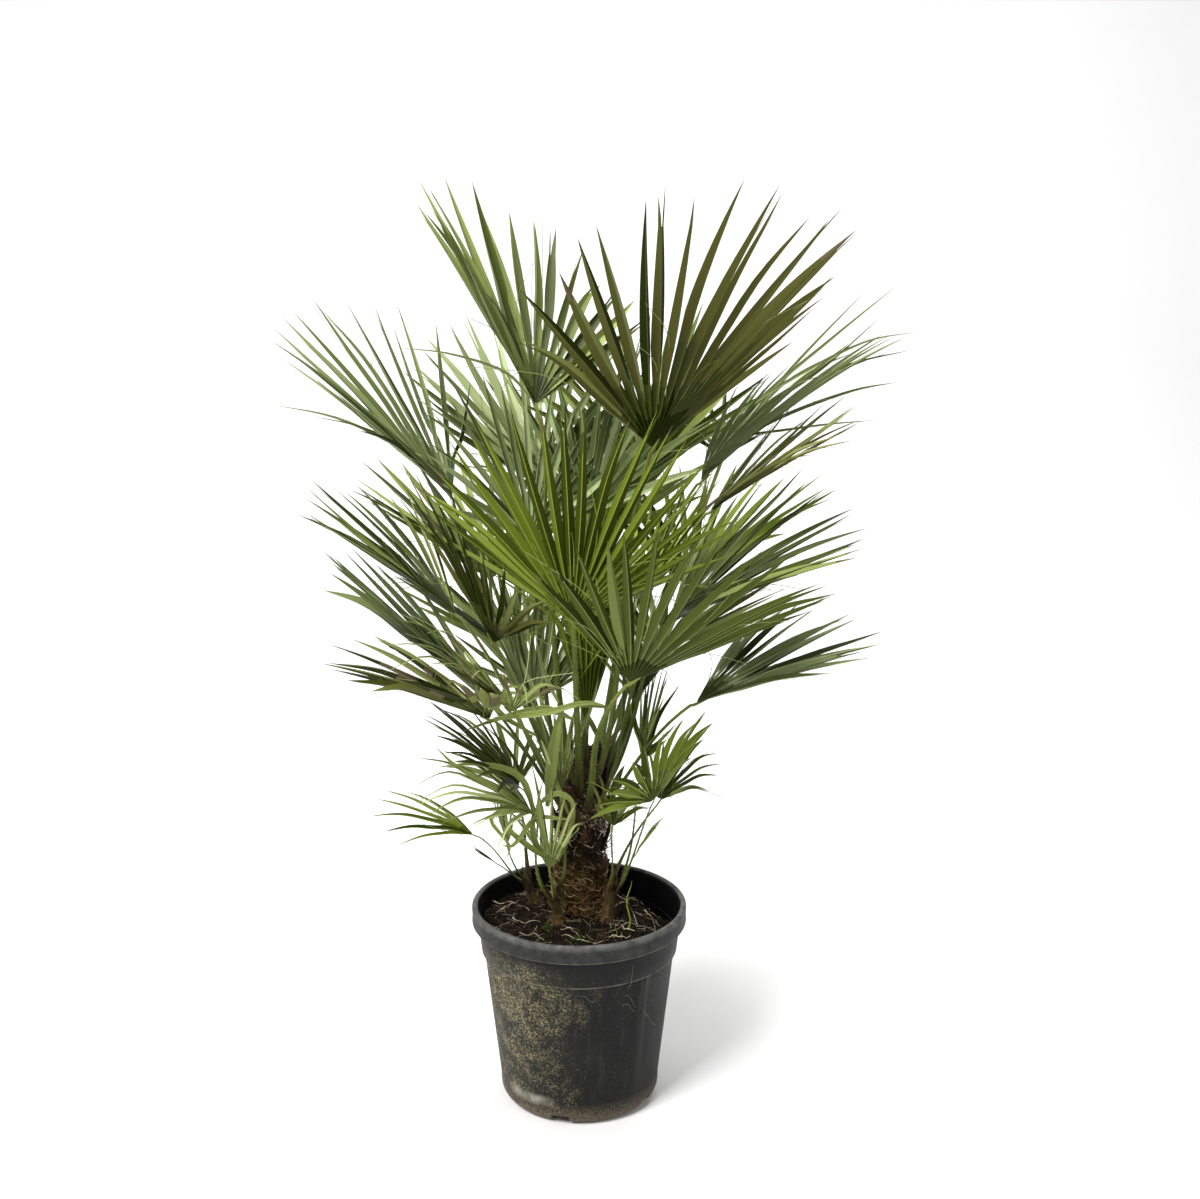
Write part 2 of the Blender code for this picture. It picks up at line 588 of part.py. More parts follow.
class Plan:
    """Everything that is settled about one frond before its mesh is made."""

    def __init__(self, frond, stem_name, stem, tilt, size, rng):
        self.frond = frond
        self.stem_name = stem_name
        self.stem = stem
        self.tilt = tilt
        self.size = size
        self.frame = fan_frame(frond)
        self.ribs, notches = rib_angles(frond, rng)
        self.palm = palm_points(frond, self.frame, notches)
        self.hub = (Vector(frond.hub), self.frame[2] * 0.5 * THICKNESS_SHARE * frond.reach)
        half_spread = math.radians(frond.spread) * 0.5
        self.lengths, self.lifts = [], []
        for rib in self.ribs:
            share = min(1.0, abs(rib) / half_spread)
            length = 1.0 - (1.0 - SIDE_LEAFLET_SHARE) * share ** 2
            self.lengths.append(frond.reach * length * (1.0 - LENGTH_SCATTER * rng.random()))
            self.lifts.append(LIFT_SCATTER * rng.uniform(-1.0, 1.0))
        self.leaflets = [None] * frond.leaflets

    def palm_sheet(self):
        """Sheet of the fused palm round the hub."""
        faces = [(0, index, index + 1) for index in range(1, len(self.palm))]
        return [self.hub] + self.palm, faces

    def stalk_sheet(self, sections):
        """Sheet of the stalk up to the hub and the palm's two sides."""
        count = len(sections)
        points = list(sections) + [self.hub, self.palm[0], self.palm[-1]]
        return points, stalk_faces(count, count, count + 1, count + 2)

    def leaflet(self, index, lift, share):
        return leaflet_points(self.frond, self.frame, self.ribs[index], self.palm[index:index + 2],
                              self.lifts[index] + lift, self.lengths[index] * share)


def plan_stalk(plan, space):
    """Takes the first way round its neighbours that leaves the stalk clear of them."""
    for shift, swerve in itertools.product(SEAT_SHIFTS, SWERVES):
        sections, seat = stalk_sections(plan.frond, plan.frame, plan.stem, plan.tilt, plan.size,
                                        swerve, shift)
        body = seated(plan.stalk_sheet(sections), seat, MARGIN)
        if not space.touches((plan.frond.name, plan.stem_name), *body):
            plan.stalk = (sections, seat)
            space.add(plan.frond.name, *body)
            return
    raise ValueError(f"no way for the stalk of {plan.frond.name}")


def plan_leaflet(plan, index, space):
    for share in LENGTHS:
        for lift in LIFTS:
            points = plan.leaflet(index, lift, share)
            body = thickened(points, leaflet_faces(len(points)), MARGIN)
            if not space.touches((plan.frond.name,), *body):
                space.add(plan.frond.name, *body)
                plan.leaflets[index] = points
                return


def plan_fronds(stems):
    """Settles palms first, then stalks, then leaflets from the middle of each fan out."""
    rng = random.Random(SEED)
    plans = []
    groups = [("trunk", TRUNK_FRONDS, TRUNK_SEATS, 1.0)]
    groups += [(sucker.name, SUCKER_FRONDS[sucker.name], SUCKER_SEATS, SUCKER_STALK)
               for sucker in SUCKERS]
    for stem, fronds, (low, high), size in groups:
        for rank, frond in enumerate(fronds):
            tilt = math.radians(low + (high - low) * rank / (len(fronds) - 1))
            plans.append(Plan(frond, stem, stems[stem], tilt, size, rng))
    space = Space()
    for name, (body, _) in stems.items():
        space.bodies.append((name, *body))
    for plan in plans:
        space.add(plan.frond.name, *thickened(*plan.palm_sheet(), MARGIN))
    for plan in plans:
        plan_stalk(plan, space)
    for plan in plans:
        for index in sorted(range(plan.frond.leaflets), key=lambda index: abs(plan.ribs[index])):
            plan_leaflet(plan, index, space)
    return plans


def make_frond(plan):
    """One closed body: stalk, palm and leaflets share their edges."""
    sections, seat = plan.stalk
    hub = len(sections)
    first, last = hub + 1, hub + len(plan.palm)
    points = sections + [plan.hub] + plan.palm
    faces = stalk_faces(hub, hub, first, last)
    faces += [(hub, index, index + 1) for index in range(first, last)]
    for index, leaflet in enumerate(plan.leaflets):
        if leaflet is None:
            continue
        base = len(points)
        points += leaflet[2:]
        numbers = [first + index, first + index + 1] + list(range(base, len(points)))
        faces += [tuple(numbers[k] for k in face) for face in leaflet_faces(len(leaflet))]
    verts, polygons = seated((points, faces), seat)
    bm = bmesh.new()
    made = [bm.verts.new(vert) for vert in verts]
    for polygon in polygons:
        bm.faces.new([made[index] for index in polygon])
    add_object("frond_" + plan.frond.name, bm, plan.frond.tint)


def main():
    clear_scene()
    make_pot()
    make_soil()
    stems = make_stems()
    for plan in plan_fronds(stems):
        make_frond(plan)


main()
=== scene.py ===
"""Looks of the European fan palm in its nursery pot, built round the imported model.

Metres, +Z up, the plant's front along -Y and the origin under the middle of the pot.
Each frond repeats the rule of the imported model: the same table, the same stalk round
its neighbours and the same leaflets. Here its fan is pleated, its leaflets are folded
along their ribs and end in split tips, and its stalk carries spines.
"""

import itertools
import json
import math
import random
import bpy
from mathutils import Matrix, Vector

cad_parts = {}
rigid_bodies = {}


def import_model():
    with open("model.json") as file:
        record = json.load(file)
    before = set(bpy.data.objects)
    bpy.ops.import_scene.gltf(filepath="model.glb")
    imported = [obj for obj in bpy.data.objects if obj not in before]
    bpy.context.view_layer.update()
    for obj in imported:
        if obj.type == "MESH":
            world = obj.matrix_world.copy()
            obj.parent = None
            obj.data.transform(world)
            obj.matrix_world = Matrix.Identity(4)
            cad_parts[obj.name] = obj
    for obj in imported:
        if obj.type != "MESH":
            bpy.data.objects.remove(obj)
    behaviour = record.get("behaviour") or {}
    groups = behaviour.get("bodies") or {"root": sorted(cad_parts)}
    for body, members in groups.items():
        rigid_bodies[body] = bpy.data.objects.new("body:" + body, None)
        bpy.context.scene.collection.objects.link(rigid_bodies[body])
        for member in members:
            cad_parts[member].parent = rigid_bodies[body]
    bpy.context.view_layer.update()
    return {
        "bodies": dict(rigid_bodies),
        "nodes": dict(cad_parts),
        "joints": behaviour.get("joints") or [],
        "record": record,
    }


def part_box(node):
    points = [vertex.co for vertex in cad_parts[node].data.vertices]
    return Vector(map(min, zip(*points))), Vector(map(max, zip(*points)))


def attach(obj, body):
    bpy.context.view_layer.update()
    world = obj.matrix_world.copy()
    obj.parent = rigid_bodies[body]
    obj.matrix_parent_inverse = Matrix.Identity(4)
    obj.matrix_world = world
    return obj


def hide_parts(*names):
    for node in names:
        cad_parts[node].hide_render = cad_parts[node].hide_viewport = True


bl_info = {
    "name": "Potted fan palm",
    "version": (1, 0, 0),
    "blender": (4, 5, 0),
    "location": "3D View > Sidebar > Fan palm",
    "description": "Builds a fan palm in a nursery pot round its packed model",
    "category": "Add Mesh",
}

from collections import namedtuple

import bmesh
import bpy
from bpy.props import FloatProperty, FloatVectorProperty, IntProperty, PointerProperty
from mathutils import Matrix, Vector, noise
from mathutils.bvhtree import BVHTree

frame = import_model()

UP = Vector((0.0, 0.0, 1.0))
BODY = "root"

# Pot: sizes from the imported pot, then the shares that its profile is drawn with
POT_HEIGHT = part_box("pot")[1].z
POT_RIM_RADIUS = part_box("pot")[1].x
POT_MOUTH_RADIUS = POT_RIM_RADIUS - 0.011
POT_BASE_RADIUS = 0.139
POT_FLARE = 0.114
POT_RIM_FOOT = POT_HEIGHT - 0.033
POT_COLLAR_FOOT = POT_RIM_FOOT - 0.052
POT_COLLAR_STEP = 0.003
POT_WALL = 0.005
POT_FLOOR = 0.012
POT_HEEL = 0.030
POT_FOOT_BEVEL = 0.024
POT_SIDES = 180
POT_HEEL_STEPS = 8
POT_SIDE_ROWS = 16
NOTCH_COUNT = 5
NOTCH_FIRST = -104.0
NOTCH_WIDTH = 0.034
PANEL_MIDDLE = -86.0
PANEL_SHARE = 0.91
INNER_RING_HEIGHT = 0.306

# Compost: level round the stems, sunk beside the wall at the right rear
SOIL_TOP = 0.330
SOIL_LEVEL_RADIUS = 0.135
SOIL_EDGE_DROP = 0.006
SOIL_HOLLOW_DROP = 0.034
SOIL_HOLLOW_BEARING = 28.0
SOIL_HOLLOW_WIDTH = 38.0
SOIL_GAP = 0.001
SOIL_RINGS = 44
SOIL_SIDES = 120

# Trunk: height above the compost and radius, from the flat cut to the growing tip
CLEARANCE = 0.0003
TRUNK_FOOT = (0.0, 0.055)
TRUNK_LEAN = 0.02
TRUNK_RINGS = (
    (0.000, 0.051), (0.014, 0.046), (0.050, 0.0425), (0.100, 0.0400), (0.150, 0.0380),
    (0.205, 0.0365), (0.245, 0.0340), (0.272, 0.0290), (0.290, 0.0210), (0.300, 0.0110),
)
TRUNK_SEAT_HEIGHT = 0.180
DARK_FROM = 0.105

Sucker = namedtuple("Sucker", "name foot top foot_radius top_radius")
SUCKERS = (
    Sucker("sucker_left", (-0.078, 0.060), (-0.102, 0.052, 0.400), 0.0100, 0.0070),
    Sucker("sucker_front", (-0.036, -0.022), (-0.043, -0.030, 0.405), 0.0110, 0.0085),
    Sucker("sucker_right", (0.048, -0.012), (0.058, -0.004, 0.410), 0.0130, 0.0100),
)
SUCKER_SEAT_SHARE = 0.55

# Fronds: fan middle, heading and rise of the fan's axis in degrees, how far its upper
# side is turned to the front, length, spread in degrees, leaflets, cup and droop
Frond = namedtuple("Frond", "name hub heading rise turn reach spread leaflets cup droop tint")
TINTS = OLD, MID, BRIGHT, GREY, PALE = "old", "mid", "bright", "grey", "pale"
TRUNK_FRONDS = (
    Frond("left_low_front", (-0.145, -0.12, 0.735), -142, 27, 0.05, 0.32, 105, 14, 0.8, 0.03, OLD),
    Frond("front_left_low", (-0.105, -0.18, 0.765), -130, 40, 0.2, 0.30, 125, 13, 0.8, 0.04, PALE),
    Frond("right_low", (0.200, -0.03, 0.735), 6, 22, 0.15, 0.35, 80, 16, 0.9, 0.01, GREY),
    Frond("rear_low_left", (-0.13, 0.30, 0.735), 114, 24, 0.0, 0.34, 145, 16, 0.7, 0.05, MID),
    Frond("rear_low_right", (0.15, 0.29, 0.735), 68, 22, 0.0, 0.34, 145, 16, 0.7, 0.05, OLD),
    Frond("left_lower", (-0.155, -0.01, 0.730), -170, 45, 0.05, 0.39, 78, 14, 0.6, 0.01, GREY),
    Frond("right_front", (0.085, -0.22, 0.825), -20, 36, -0.4, 0.38, 170, 21, 0.65, 0.03, MID),
    Frond("right_middle", (0.155, -0.02, 0.875), -14, 29, 0.2, 0.39, 120, 19, 0.8, 0.03, MID),
    Frond("left_outer", (-0.215, 0.08, 0.865), 172, 39, 0.1, 0.36, 80, 16, 0.9, 0.02, MID),
    Frond("rear_left", (-0.17, 0.30, 0.880), 120, 34, 0.0, 0.38, 150, 18, 0.8, 0.03, MID),
    Frond("rear_right", (0.20, 0.28, 0.870), 52, 32, 0.0, 0.38, 150, 18, 0.8, 0.03, BRIGHT),
    Frond("rear_middle", (0.01, 0.36, 0.930), 92, 36, 0.0, 0.40, 155, 18, 0.7, 0.03, MID),
    Frond("left_middle_front", (-0.135, -0.14, 0.870), -140, 60, 0.3, 0.33, 130, 17, 0.8, 0.01, OLD),
    Frond("rear_right_upper", (0.12, 0.29, 1.080), 66, 56, 0.0, 0.39, 150, 18, 0.8, 0.01, MID),
    Frond("rear_left_upper", (-0.08, 0.26, 1.070), 112, 56, 0.0, 0.38, 150, 18, 0.8, 0.01, GREY),
    Frond("right_upper", (0.220, -0.02, 1.065), -8, 35, 0.1, 0.31, 80, 14, 0.8, 0.01, OLD),
    Frond("right_inner", (0.105, 0.05, 0.900), -20, 55, 0.3, 0.27, 150, 15, 0.4, 0.02, BRIGHT),
    Frond("left_upper", (-0.220, 0.10, 1.070), -172, 49, 0.3, 0.43, 105, 18, 0.85, 0.00, GREY),
    Frond("centre_front", (-0.006, -0.17, 0.915), -96, 70, 0.0, 0.40, 148, 23, 0.5, 0.01, BRIGHT),
    Frond("right_rear_upper", (0.215, 0.15, 1.090), -5, 43, -0.1, 0.49, 110, 18, 0.7, 0.14, GREY),
    Frond("left_rear", (-0.085, 0.13, 0.990), 134, 69, 0.0, 0.32, 150, 16, 0.4, 0.01, GREY),
    Frond("right_upper_front", (0.122, -0.10, 1.180), -40, 58, -0.2, 0.50, 128, 21, 0.5, 0.00, OLD),
    Frond("right_rear_small", (0.263, 0.27, 1.120), 46, 70, 0.0, 0.17, 150, 11, 0.4, 0.02, OLD),
    Frond("left_top", (-0.072, 0.05, 1.235), 150, 63, -0.1, 0.42, 150, 21, 0.8, 0.00, MID),
    Frond("rear_upper", (0.015, 0.20, 1.020), 78, 74, 0.0, 0.36, 140, 17, 0.4, 0.00, GREY),
    Frond("inner_left", (-0.080, -0.02, 0.715), 170, 80, 0.3, 0.23, 80, 11, 0.4, 0.01, GREY),
    Frond("inner_rear", (-0.070, 0.16, 0.690), 100, 78, 0.0, 0.26, 130, 15, 0.4, 0.01, GREY),
    Frond("inner_right", (0.095, 0.10, 0.700), 30, 74, 0.0, 0.22, 110, 12, 0.4, 0.02, MID),
    Frond("young", (0.014, -0.010, 0.690), -75, 83, 0.0, 0.32, 34, 8, 0.1, 0.00, BRIGHT),
    Frond("spear", (0.012, 0.062, 0.700), 80, 86, 0.0, 0.36, 14, 4, 0.0, 0.00, BRIGHT),
)
SUCKER_FRONDS = {
    "sucker_left": (
        Frond("small_left", (-0.183, -0.02, 0.493), -171, 27, 0.2, 0.21, 75, 6, 0.2, 0.12, BRIGHT),
        Frond("bud_left", (-0.148, 0.03, 0.420), -166, 38, 0.0, 0.06, 40, 4, 0.1, 0.00, OLD),
        Frond("folded_left", (-0.128, 0.03, 0.455), -150, 82, 0.0, 0.12, 70, 7, 0.3, 0.00, MID),
        Frond("rear_sucker_left", (-0.12, 0.14, 0.520), 130, 45, 0.0, 0.20, 120, 9, 0.4, 0.08, MID),
    ),
    "sucker_front": (
        Frond("pale_left", (-0.078, -0.08, 0.556), -162, 32, 0.2, 0.26, 115, 11, 0.3, 0.12, PALE),
        Frond("pale_front", (-0.050, -0.062, 0.445), -112, 78, 0.0, 0.21, 66, 9, 0.2, 0.02, PALE),
        Frond("dark_left", (-0.100, -0.04, 0.588), -158, 46, 0.2, 0.25, 125, 14, 0.3, 0.06, OLD),
        Frond("pale_middle", (-0.030, -0.055, 0.585), -60, 86, 0.2, 0.19, 60, 7, 0.2, 0.02, PALE),
    ),
    "sucker_right": (
        Frond("sucker_fan", (0.127, -0.08, 0.577), -34, 67, 0.0, 0.21, 190, 17, 0.3, 0.03, BRIGHT),
        Frond("sucker_fan_rear", (0.112, 0.04, 0.606), 4, 78, 0.0, 0.20, 120, 13, 0.3, 0.03, MID),
        Frond("small_right", (0.099, -0.04, 0.466), -16, 58, 0.0, 0.09, 70, 5, 0.2, 0.00, BRIGHT),
        Frond("curled_right", (0.058, -0.022, 0.509), 40, 86, 0.3, 0.14, 110, 7, 0.2, 0.06, OLD),
        Frond("low_right", (0.145, 0.08, 0.520), 40, 48, 0.0, 0.17, 130, 9, 0.4, 0.08, MID),
    ),
}

# Fan: shares of the frond's reach, then the leaflets' scatter
PALM_SHARE = 0.21
PALM_EDGE_SHARE = 0.13
CUP_POWER = 1.4
BELLY_SHARE = 0.46
BELLY_WIDTH = 0.050
# Widest leaflet, as a share of the way to the next rib
BELLY_FILL = 0.86
# A leaflet that droops by more than this share has a second pair of edge points
ARCHED_DROOP = 0.06
ARCHED_SHARES = (0.39, 0.75)
ARCHED_TAPER = 0.72
SIDE_LEAFLET_SHARE = 0.72
THICKNESS_SHARE = 0.0115
LENGTH_SCATTER = 0.07
ANGLE_SCATTER = 0.05
LIFT_SCATTER = 0.03
HUB_SETBACK = 0.010

# Stalks: sizes of a main frond's stalk, and the share of them that a sucker's has
STALK_WIDTH_FOOT = 0.0125
STALK_WIDTH_HUB = 0.008
STALK_DEPTH_FOOT = 0.0085
STALK_DEPTH_HUB = 0.0055
SUCKER_STALK = 0.48
STALK_STEPS = 6
STALK_PULL = 0.36
STALK_HOLLOW_LEAN = 0.8
SEAT_GRIP = 0.55
SEAT_GRIP_GAIN = 1.4
SEAT_GAP = 0.0004
SEAT_RAY_START = 0.3
# Angles above the level of the first and the last seat on the trunk and on a sucker
TRUNK_SEATS = (2.0, 76.0)
SUCKER_SEATS = (15.0, 70.0)

# Ways round a neighbour, tried in order: a stalk's swerve in metres and shift of its
# seat in degrees, then a leaflet's lift and its share of the full length
SWERVES = (0.0, 0.012, -0.012, 0.024, -0.024, 0.036, -0.036, 0.05, -0.05)
SEAT_SHIFTS = (0.0, 10.0, -10.0, 20.0, -20.0, 30.0, -30.0)
LIFTS = (0.0, 0.07, -0.07, 0.14, -0.14, 0.21, -0.21)
LENGTHS = (1.0, 0.86, 0.72, 0.58)
MARGIN = 0.0009

SEED = 11
MM = 0.001

# Looks of the leaves: rows of the palm, columns across a leaflet from edge to edge,
# stations along it, and the shares that shape it
PALM_ROWS = 5
# Rows of the palm next to the hub, painted darker as painted shade
PALM_SHADED_ROWS = 3
PALM_START = 0.004
NOTCH_SCATTER = 0.14
FUSED_CHANCE = 0.16
FUSED_GAIN = 1.55
COLUMNS = (-1.0, -0.5, -0.08, 0.08, 0.5, 1.0)
STRIPS = len(COLUMNS) - 1
RIB_STRIP = 2
LEAFLET_SHARES = (0.06, 0.14, 0.24, 0.35, 0.46, 0.57, 0.68, 0.78, 0.87, 0.94)
SPLIT_SHARES = (0.3, 0.6, 0.85, 1.0)
LEAFLET_WIDTH = 0.0195
WIDTH_GROUND = 0.08
SWELL = 0.28
TAPER_POWER = 1.7
SWAY_SHARE = 0.042
SPLIT_SPAN = (0.64, 0.90)
SPLIT_CHANCE = 0.5
# Angle between split tips in degrees, and share that the shorter one keeps
SPLIT_ANGLES = (1.0, 3.5)
SPLIT_SHORT = (0.72, 0.97)
# Scatter of the leaflets: width, bow, twist in degrees, curl, and the curl of a few
WIDTH_SCATTER = (0.70, 1.10)
BOW_SCATTER = (-0.018, 0.020)
TWIST_SCATTER = 14.0
CURL_SCATTER = (0.2, 1.3)
STRAY_CURLS = (0.02, 0.07)
STRAY_CHANCE = 0.16
# Shares of the leaflets that are deep, low, middle and light in tone
TONE_SHARES = (0.26, 0.32, 0.26, 0.16)
# Dry threads from the notches: how many notches have one, its steps and half its width
THREAD_CHANCE = 0.5
THREAD_STEPS = 8
THREAD_WIDTH = 0.0007
# Share of a leaflet where its brown tip starts; many have none
BROWN_SPAN = (0.86, 1.22)
# Fans with brown patches on some of their leaflets
BROWNED = ("left_low_front", "front_left_low")
PATCH_CHANCE = 0.4
PATCH_FROM = 0.3
PATCH_TO = (0.4, 0.7)
LEAF_SHARP_ANGLE = 24.0
VEINS = 8
CURL_STEPS = 16
FOLDS = {"young": (1.5, 1.2), "spear": (1.9, 1.8)}
# How much further the palm of an unopened fan reaches
CLOSED = {"young": 2.8, "spear": 3.4}
CURLS = {"pale_left": 0.16, "pale_front": 0.12, "front_left_low": 0.15, "curled_right": 0.16,
         "small_left": 0.05, "dark_left": 0.05, "rear_sucker_left": 0.08, "low_right": 0.10,
         "pale_middle": 0.10, "sucker_fan": 0.04, "left_low_front": 0.03, "right_low": 0.02}
# Fans with narrower or wider leaflets than their size gives
FULLNESS = {"pale_front": 0.62, "pale_left": 0.72, "pale_middle": 0.6, "front_left_low": 0.6,
            "small_left": 0.9, "left_upper": 0.85, "right_low": 1.7, "left_low_front": 1.6,
            "left_lower": 1.6, "sucker_fan": 1.6, "right_middle": 1.25, "left_top": 1.35,
            "right_rear_upper": 1.0, "left_rear": 1.1, "right_front": 1.1}
# How far the palm of a deeply cut fan reaches, as a share of the others'
CUTS = {"centre_front": 0.58, "right_inner": 0.75, "left_middle_front": 0.85,
        "right_rear_upper": 0.7}
# Fans painted one tone darker or lighter than the rest of their colour: painted shade on the low
# fans, painted light on the top fan
PAINTED_LIGHT_SHIFTS = {"left_lower": -1, "right_low": -1, "left_top": 1, "front_left_low": -1}
DEEP, LOW, MIDDLE, LIGHT, UNDER, UNDER_FAR, RIB, EDGE, TIP, SIDE = range(10)
UNDERS = (UNDER, UNDER_FAR, SIDE)
LEAF_PAINTS = {
    BRIGHT: (((46, 57, 10), (70, 83, 18), (98, 114, 32), (136, 150, 62)),
             ((54, 64, 12), (90, 104, 28))),
    MID: (((40, 48, 12), (64, 73, 26), (92, 103, 46), (130, 141, 80)),
          ((42, 49, 14), (68, 77, 30))),
    OLD: (((36, 43, 7), (58, 65, 20), (86, 93, 40), (126, 133, 78)),
          ((34, 41, 4), (76, 77, 34))),
    GREY: (((58, 69, 34), (90, 101, 58), (122, 133, 86), (154, 165, 118)),
           ((70, 80, 44), (104, 114, 72))),
    PALE: (((76, 85, 38), (106, 116, 58), (138, 148, 84), (178, 187, 126)),
           ((88, 97, 48), (122, 132, 72))),
}
LEAF_RIB = {BRIGHT: (122, 135, 52), MID: (110, 121, 60), OLD: (84, 88, 40),
            GREY: (132, 143, 96), PALE: (156, 165, 108)}
LEAF_EDGE = {BRIGHT: (134, 146, 62), MID: (114, 125, 58), OLD: (92, 96, 46),
             GREY: (134, 145, 96), PALE: (158, 167, 108)}
# Lower side of a fan's side leaflets, lighter as painted light
LEAF_SIDE = {BRIGHT: (106, 121, 42), MID: (94, 105, 48), OLD: (112, 119, 60),
             GREY: (132, 142, 94), PALE: (158, 168, 106)}
LEAF_TIP = (92, 82, 58)
# Loose leaflets and threads that curl through the crown: half the width, then the places
# that each one passes, in millimetres
RIBBONS = {
    PALE: (
        (6, (-72, -75, 543), (-97, -100, 626), (-160, -120, 656), (-233, -130, 655)),
        (5, (-77, -75, 551), (-129, -110, 607), (-197, -120, 650), (-238, -120, 689)),
        (5.5, (-49, -55, 459), (-88, -90, 502), (-117, -100, 535), (-122, -100, 569)),
        (4.5, (-54, -55, 477), (-71, -90, 548), (-109, -100, 506), (-130, -110, 510)),
        (4.5, (-76, -75, 548), (-50, -90, 551), (-12, -90, 548)),
        (4.5, (-72, -70, 564), (-38, -100, 598), (-11, -100, 586), (-11, -90, 548),
         (-26, -80, 492)),
        (9.5, (-53, -60, 560), (-44, -85, 651), (-35, -90, 707), (-30, -80, 735)),
        (5, (-70, -90, 696), (-121, -120, 738), (-136, -130, 769), (-99, -130, 782),
         (-79, -120, 755)),
        (6, (-49, -50, 451), (-73, -70, 494), (-77, -80, 545), (-55, -80, 590)),
        (6, (-6, -80, 721), (-53, -110, 749), (-121, -120, 738), (-196, -120, 711)),
        (4, (-77, -80, 556), (-103, -100, 575), (-146, -110, 556), (-117, -100, 506),
         (-124, -90, 473)),
        (5, (48, -50, 734), (0, -90, 751), (-53, -100, 738), (-95, -110, 744)),
        (2.8, (-127, -140, 751), (-162, -160, 787), (-154, -150, 827)),
        (3.5, (-131, -140, 755), (-112, -160, 800), (-76, -150, 793)),
        (5.2, (-136, -130, 739), (-55, -150, 754), (11, -140, 768), (53, -130, 759)),
        (3.6, (-16, -60, 544), (-33, -70, 594), (-50, -70, 649), (-75, -90, 696)),
        (4.2, (-39, -55, 454), (-59, -90, 519), (-67, -100, 578), (-58, -100, 623)),
        (4, (-35, -55, 458), (-14, -80, 524), (-9, -90, 574), (-33, -100, 596)),
    ),
    BRIGHT: (
        (1.4, (-32, -200, 944), (12, -215, 899), (52, -210, 843)),
        (1.5, (-126, -220, 998), (-59, -215, 948), (12, -200, 874)),
        (1.6, (44, -220, 998), (12, -215, 960), (-12, -190, 921)),
        (1.4, (-68, -200, 965), (-91, -220, 945), (-120, -210, 910)),
        (1.5, (92, -210, 947), (44, -200, 882), (3, -170, 816)),
        (1.6, (-10, -180, 921), (36, -230, 937), (95, -250, 924)),
        (1.4, (-10, -180, 921), (-51, -230, 923), (-82, -250, 895)),
    ),
    GREY: (
        (1.6, (-91, -100, 783), (-73, -120, 758), (-57, -120, 727)),
        (4, (-32, -100, 756), (-58, -60, 802), (-72, -30, 852)),
        (3.6, (-58, -80, 750), (-89, -40, 792), (-103, -20, 836)),
        (3, (-8, -40, 675), (19, -50, 723), (36, -40, 788)),
        (3.2, (221, 140, 1164), (332, 120, 1250), (480, 120, 1330), (580, 120, 1352)),
        (3.2, (240, 150, 1140), (350, 125, 1205), (468, 120, 1250), (547, 100, 1268)),
        (3.4, (252, 150, 1138), (314, 130, 1234), (431, 120, 1338), (545, 120, 1432)),
        (3, (252, 150, 1138), (367, 150, 1284), (498, 160, 1422)),
        (2.6, (221, 140, 1164), (332, 120, 1180), (430, 105, 1195), (515, 100, 1203)),
        (3, (-220, 70, 1075), (-290, 65, 1150), (-405, 70, 1208), (-525, 80, 1232)),
        (2.6, (-75, 50, 1240), (-123, 60, 1288), (-214, 50, 1319), (-300, 50, 1329)),
    ),
    OLD: (
        (3.4, (-74, -50, 550), (-94, -60, 609), (-119, -70, 667), (-161, -80, 715)),
        (5, (-8, -20, 585), (-14, -30, 644), (-8, -30, 717)),
        (4.5, (5, -10, 572), (5, -20, 641), (14, -20, 696)),
        (4.5, (-17, -20, 595), (-28, -30, 644), (-23, -20, 696)),
        (2.2, (49, -20, 529), (40, -30, 566), (62, -50, 591), (97, -50, 587)),
        (3.4, (240, 150, 1130), (340, 130, 1215), (450, 120, 1290), (575, 120, 1322)),
        (3, (252, 150, 1138), (320, 130, 1216), (420, 120, 1290), (520, 120, 1380)),
        (2.6, (-230, 60, 1090), (-300, 60, 1160), (-370, 60, 1196), (-452, 60, 1214)),
    ),
    MID: (
        (4.2, (121, 30, 624), (98, 20, 684), (93, 20, 748)),
        (4.2, (121, 30, 624), (138, 20, 693), (177, 10, 760)),
        (3.6, (121, 30, 624), (116, 30, 699), (125, 30, 768)),
        (6, (45, 0, 531), (67, -10, 591), (80, -20, 622)),
    ),
}

# Looks of the stalks: a section that is flat above and round below, from margin to
# margin, the foot that runs into the stem, and the point under the palm
STALK_ROWS = 26
STALK_SECTION = (
    (-0.50, 0.10), (-0.26, 0.30), (0.00, 0.36), (0.26, 0.30), (0.50, 0.10),
    (0.42, -0.18), (0.22, -0.43), (0.00, -0.50), (-0.22, -0.43), (-0.42, -0.18),
)
# Corners of the section at its two margins with their hands, and the first row with spines
STALK_MARGINS = ((0, -1.0), (4, 1.0))
SPINES_FROM = 4
# Sheath of a stalk: drop below the seat, way out of the stem, shares of width and depth
SHEATH_RINGS = ((0.040, -0.004, 1.0, 0.7), (0.024, -0.0005, 2.0, 0.8), (0.009, 0.001, 2.2, 0.9))
SHEATH_LENGTH = 0.022
SHEATH_GAIN = 1.1
# Head of the stalk: way past the hub, then shares of the width and the depth
STALK_HEAD = ((-0.004, 1.15, 1.0), (0.003, 1.0, 0.9), (0.011, 0.6, 0.7), (0.020, 0.25, 0.4))
UNARMED = ("young", "spear")

# Looks of the pot, the compost and the stems
POT_LIP = 0.0055
CHALK_BEARING = -2.26
CHALK_HEIGHT = 0.044
# Drainage notches as cut: way in from the base's edge, and height
NOTCH_REACH = 0.036
NOTCH_RISE = 0.019
# Cobweb threads: bearing in degrees and height of both ends, and sideways sway
COBWEBS = (
    ((-61.8, 0.254), (-49.6, 0.214), 0.004), ((-63.3, 0.235), (-49.6, 0.214), 0.005),
    ((-49.6, 0.214), (-32.3, 0.164), 0.003), ((-58.7, 0.312), (-60.0, 0.262), 0.004),
    ((-49.6, 0.214), (-41.0, 0.196), 0.006), ((-88.0, 0.262), (-80.0, 0.250), 0.003),
)
COBWEB_STEPS = 14
COBWEB_RADIUS = 0.0002
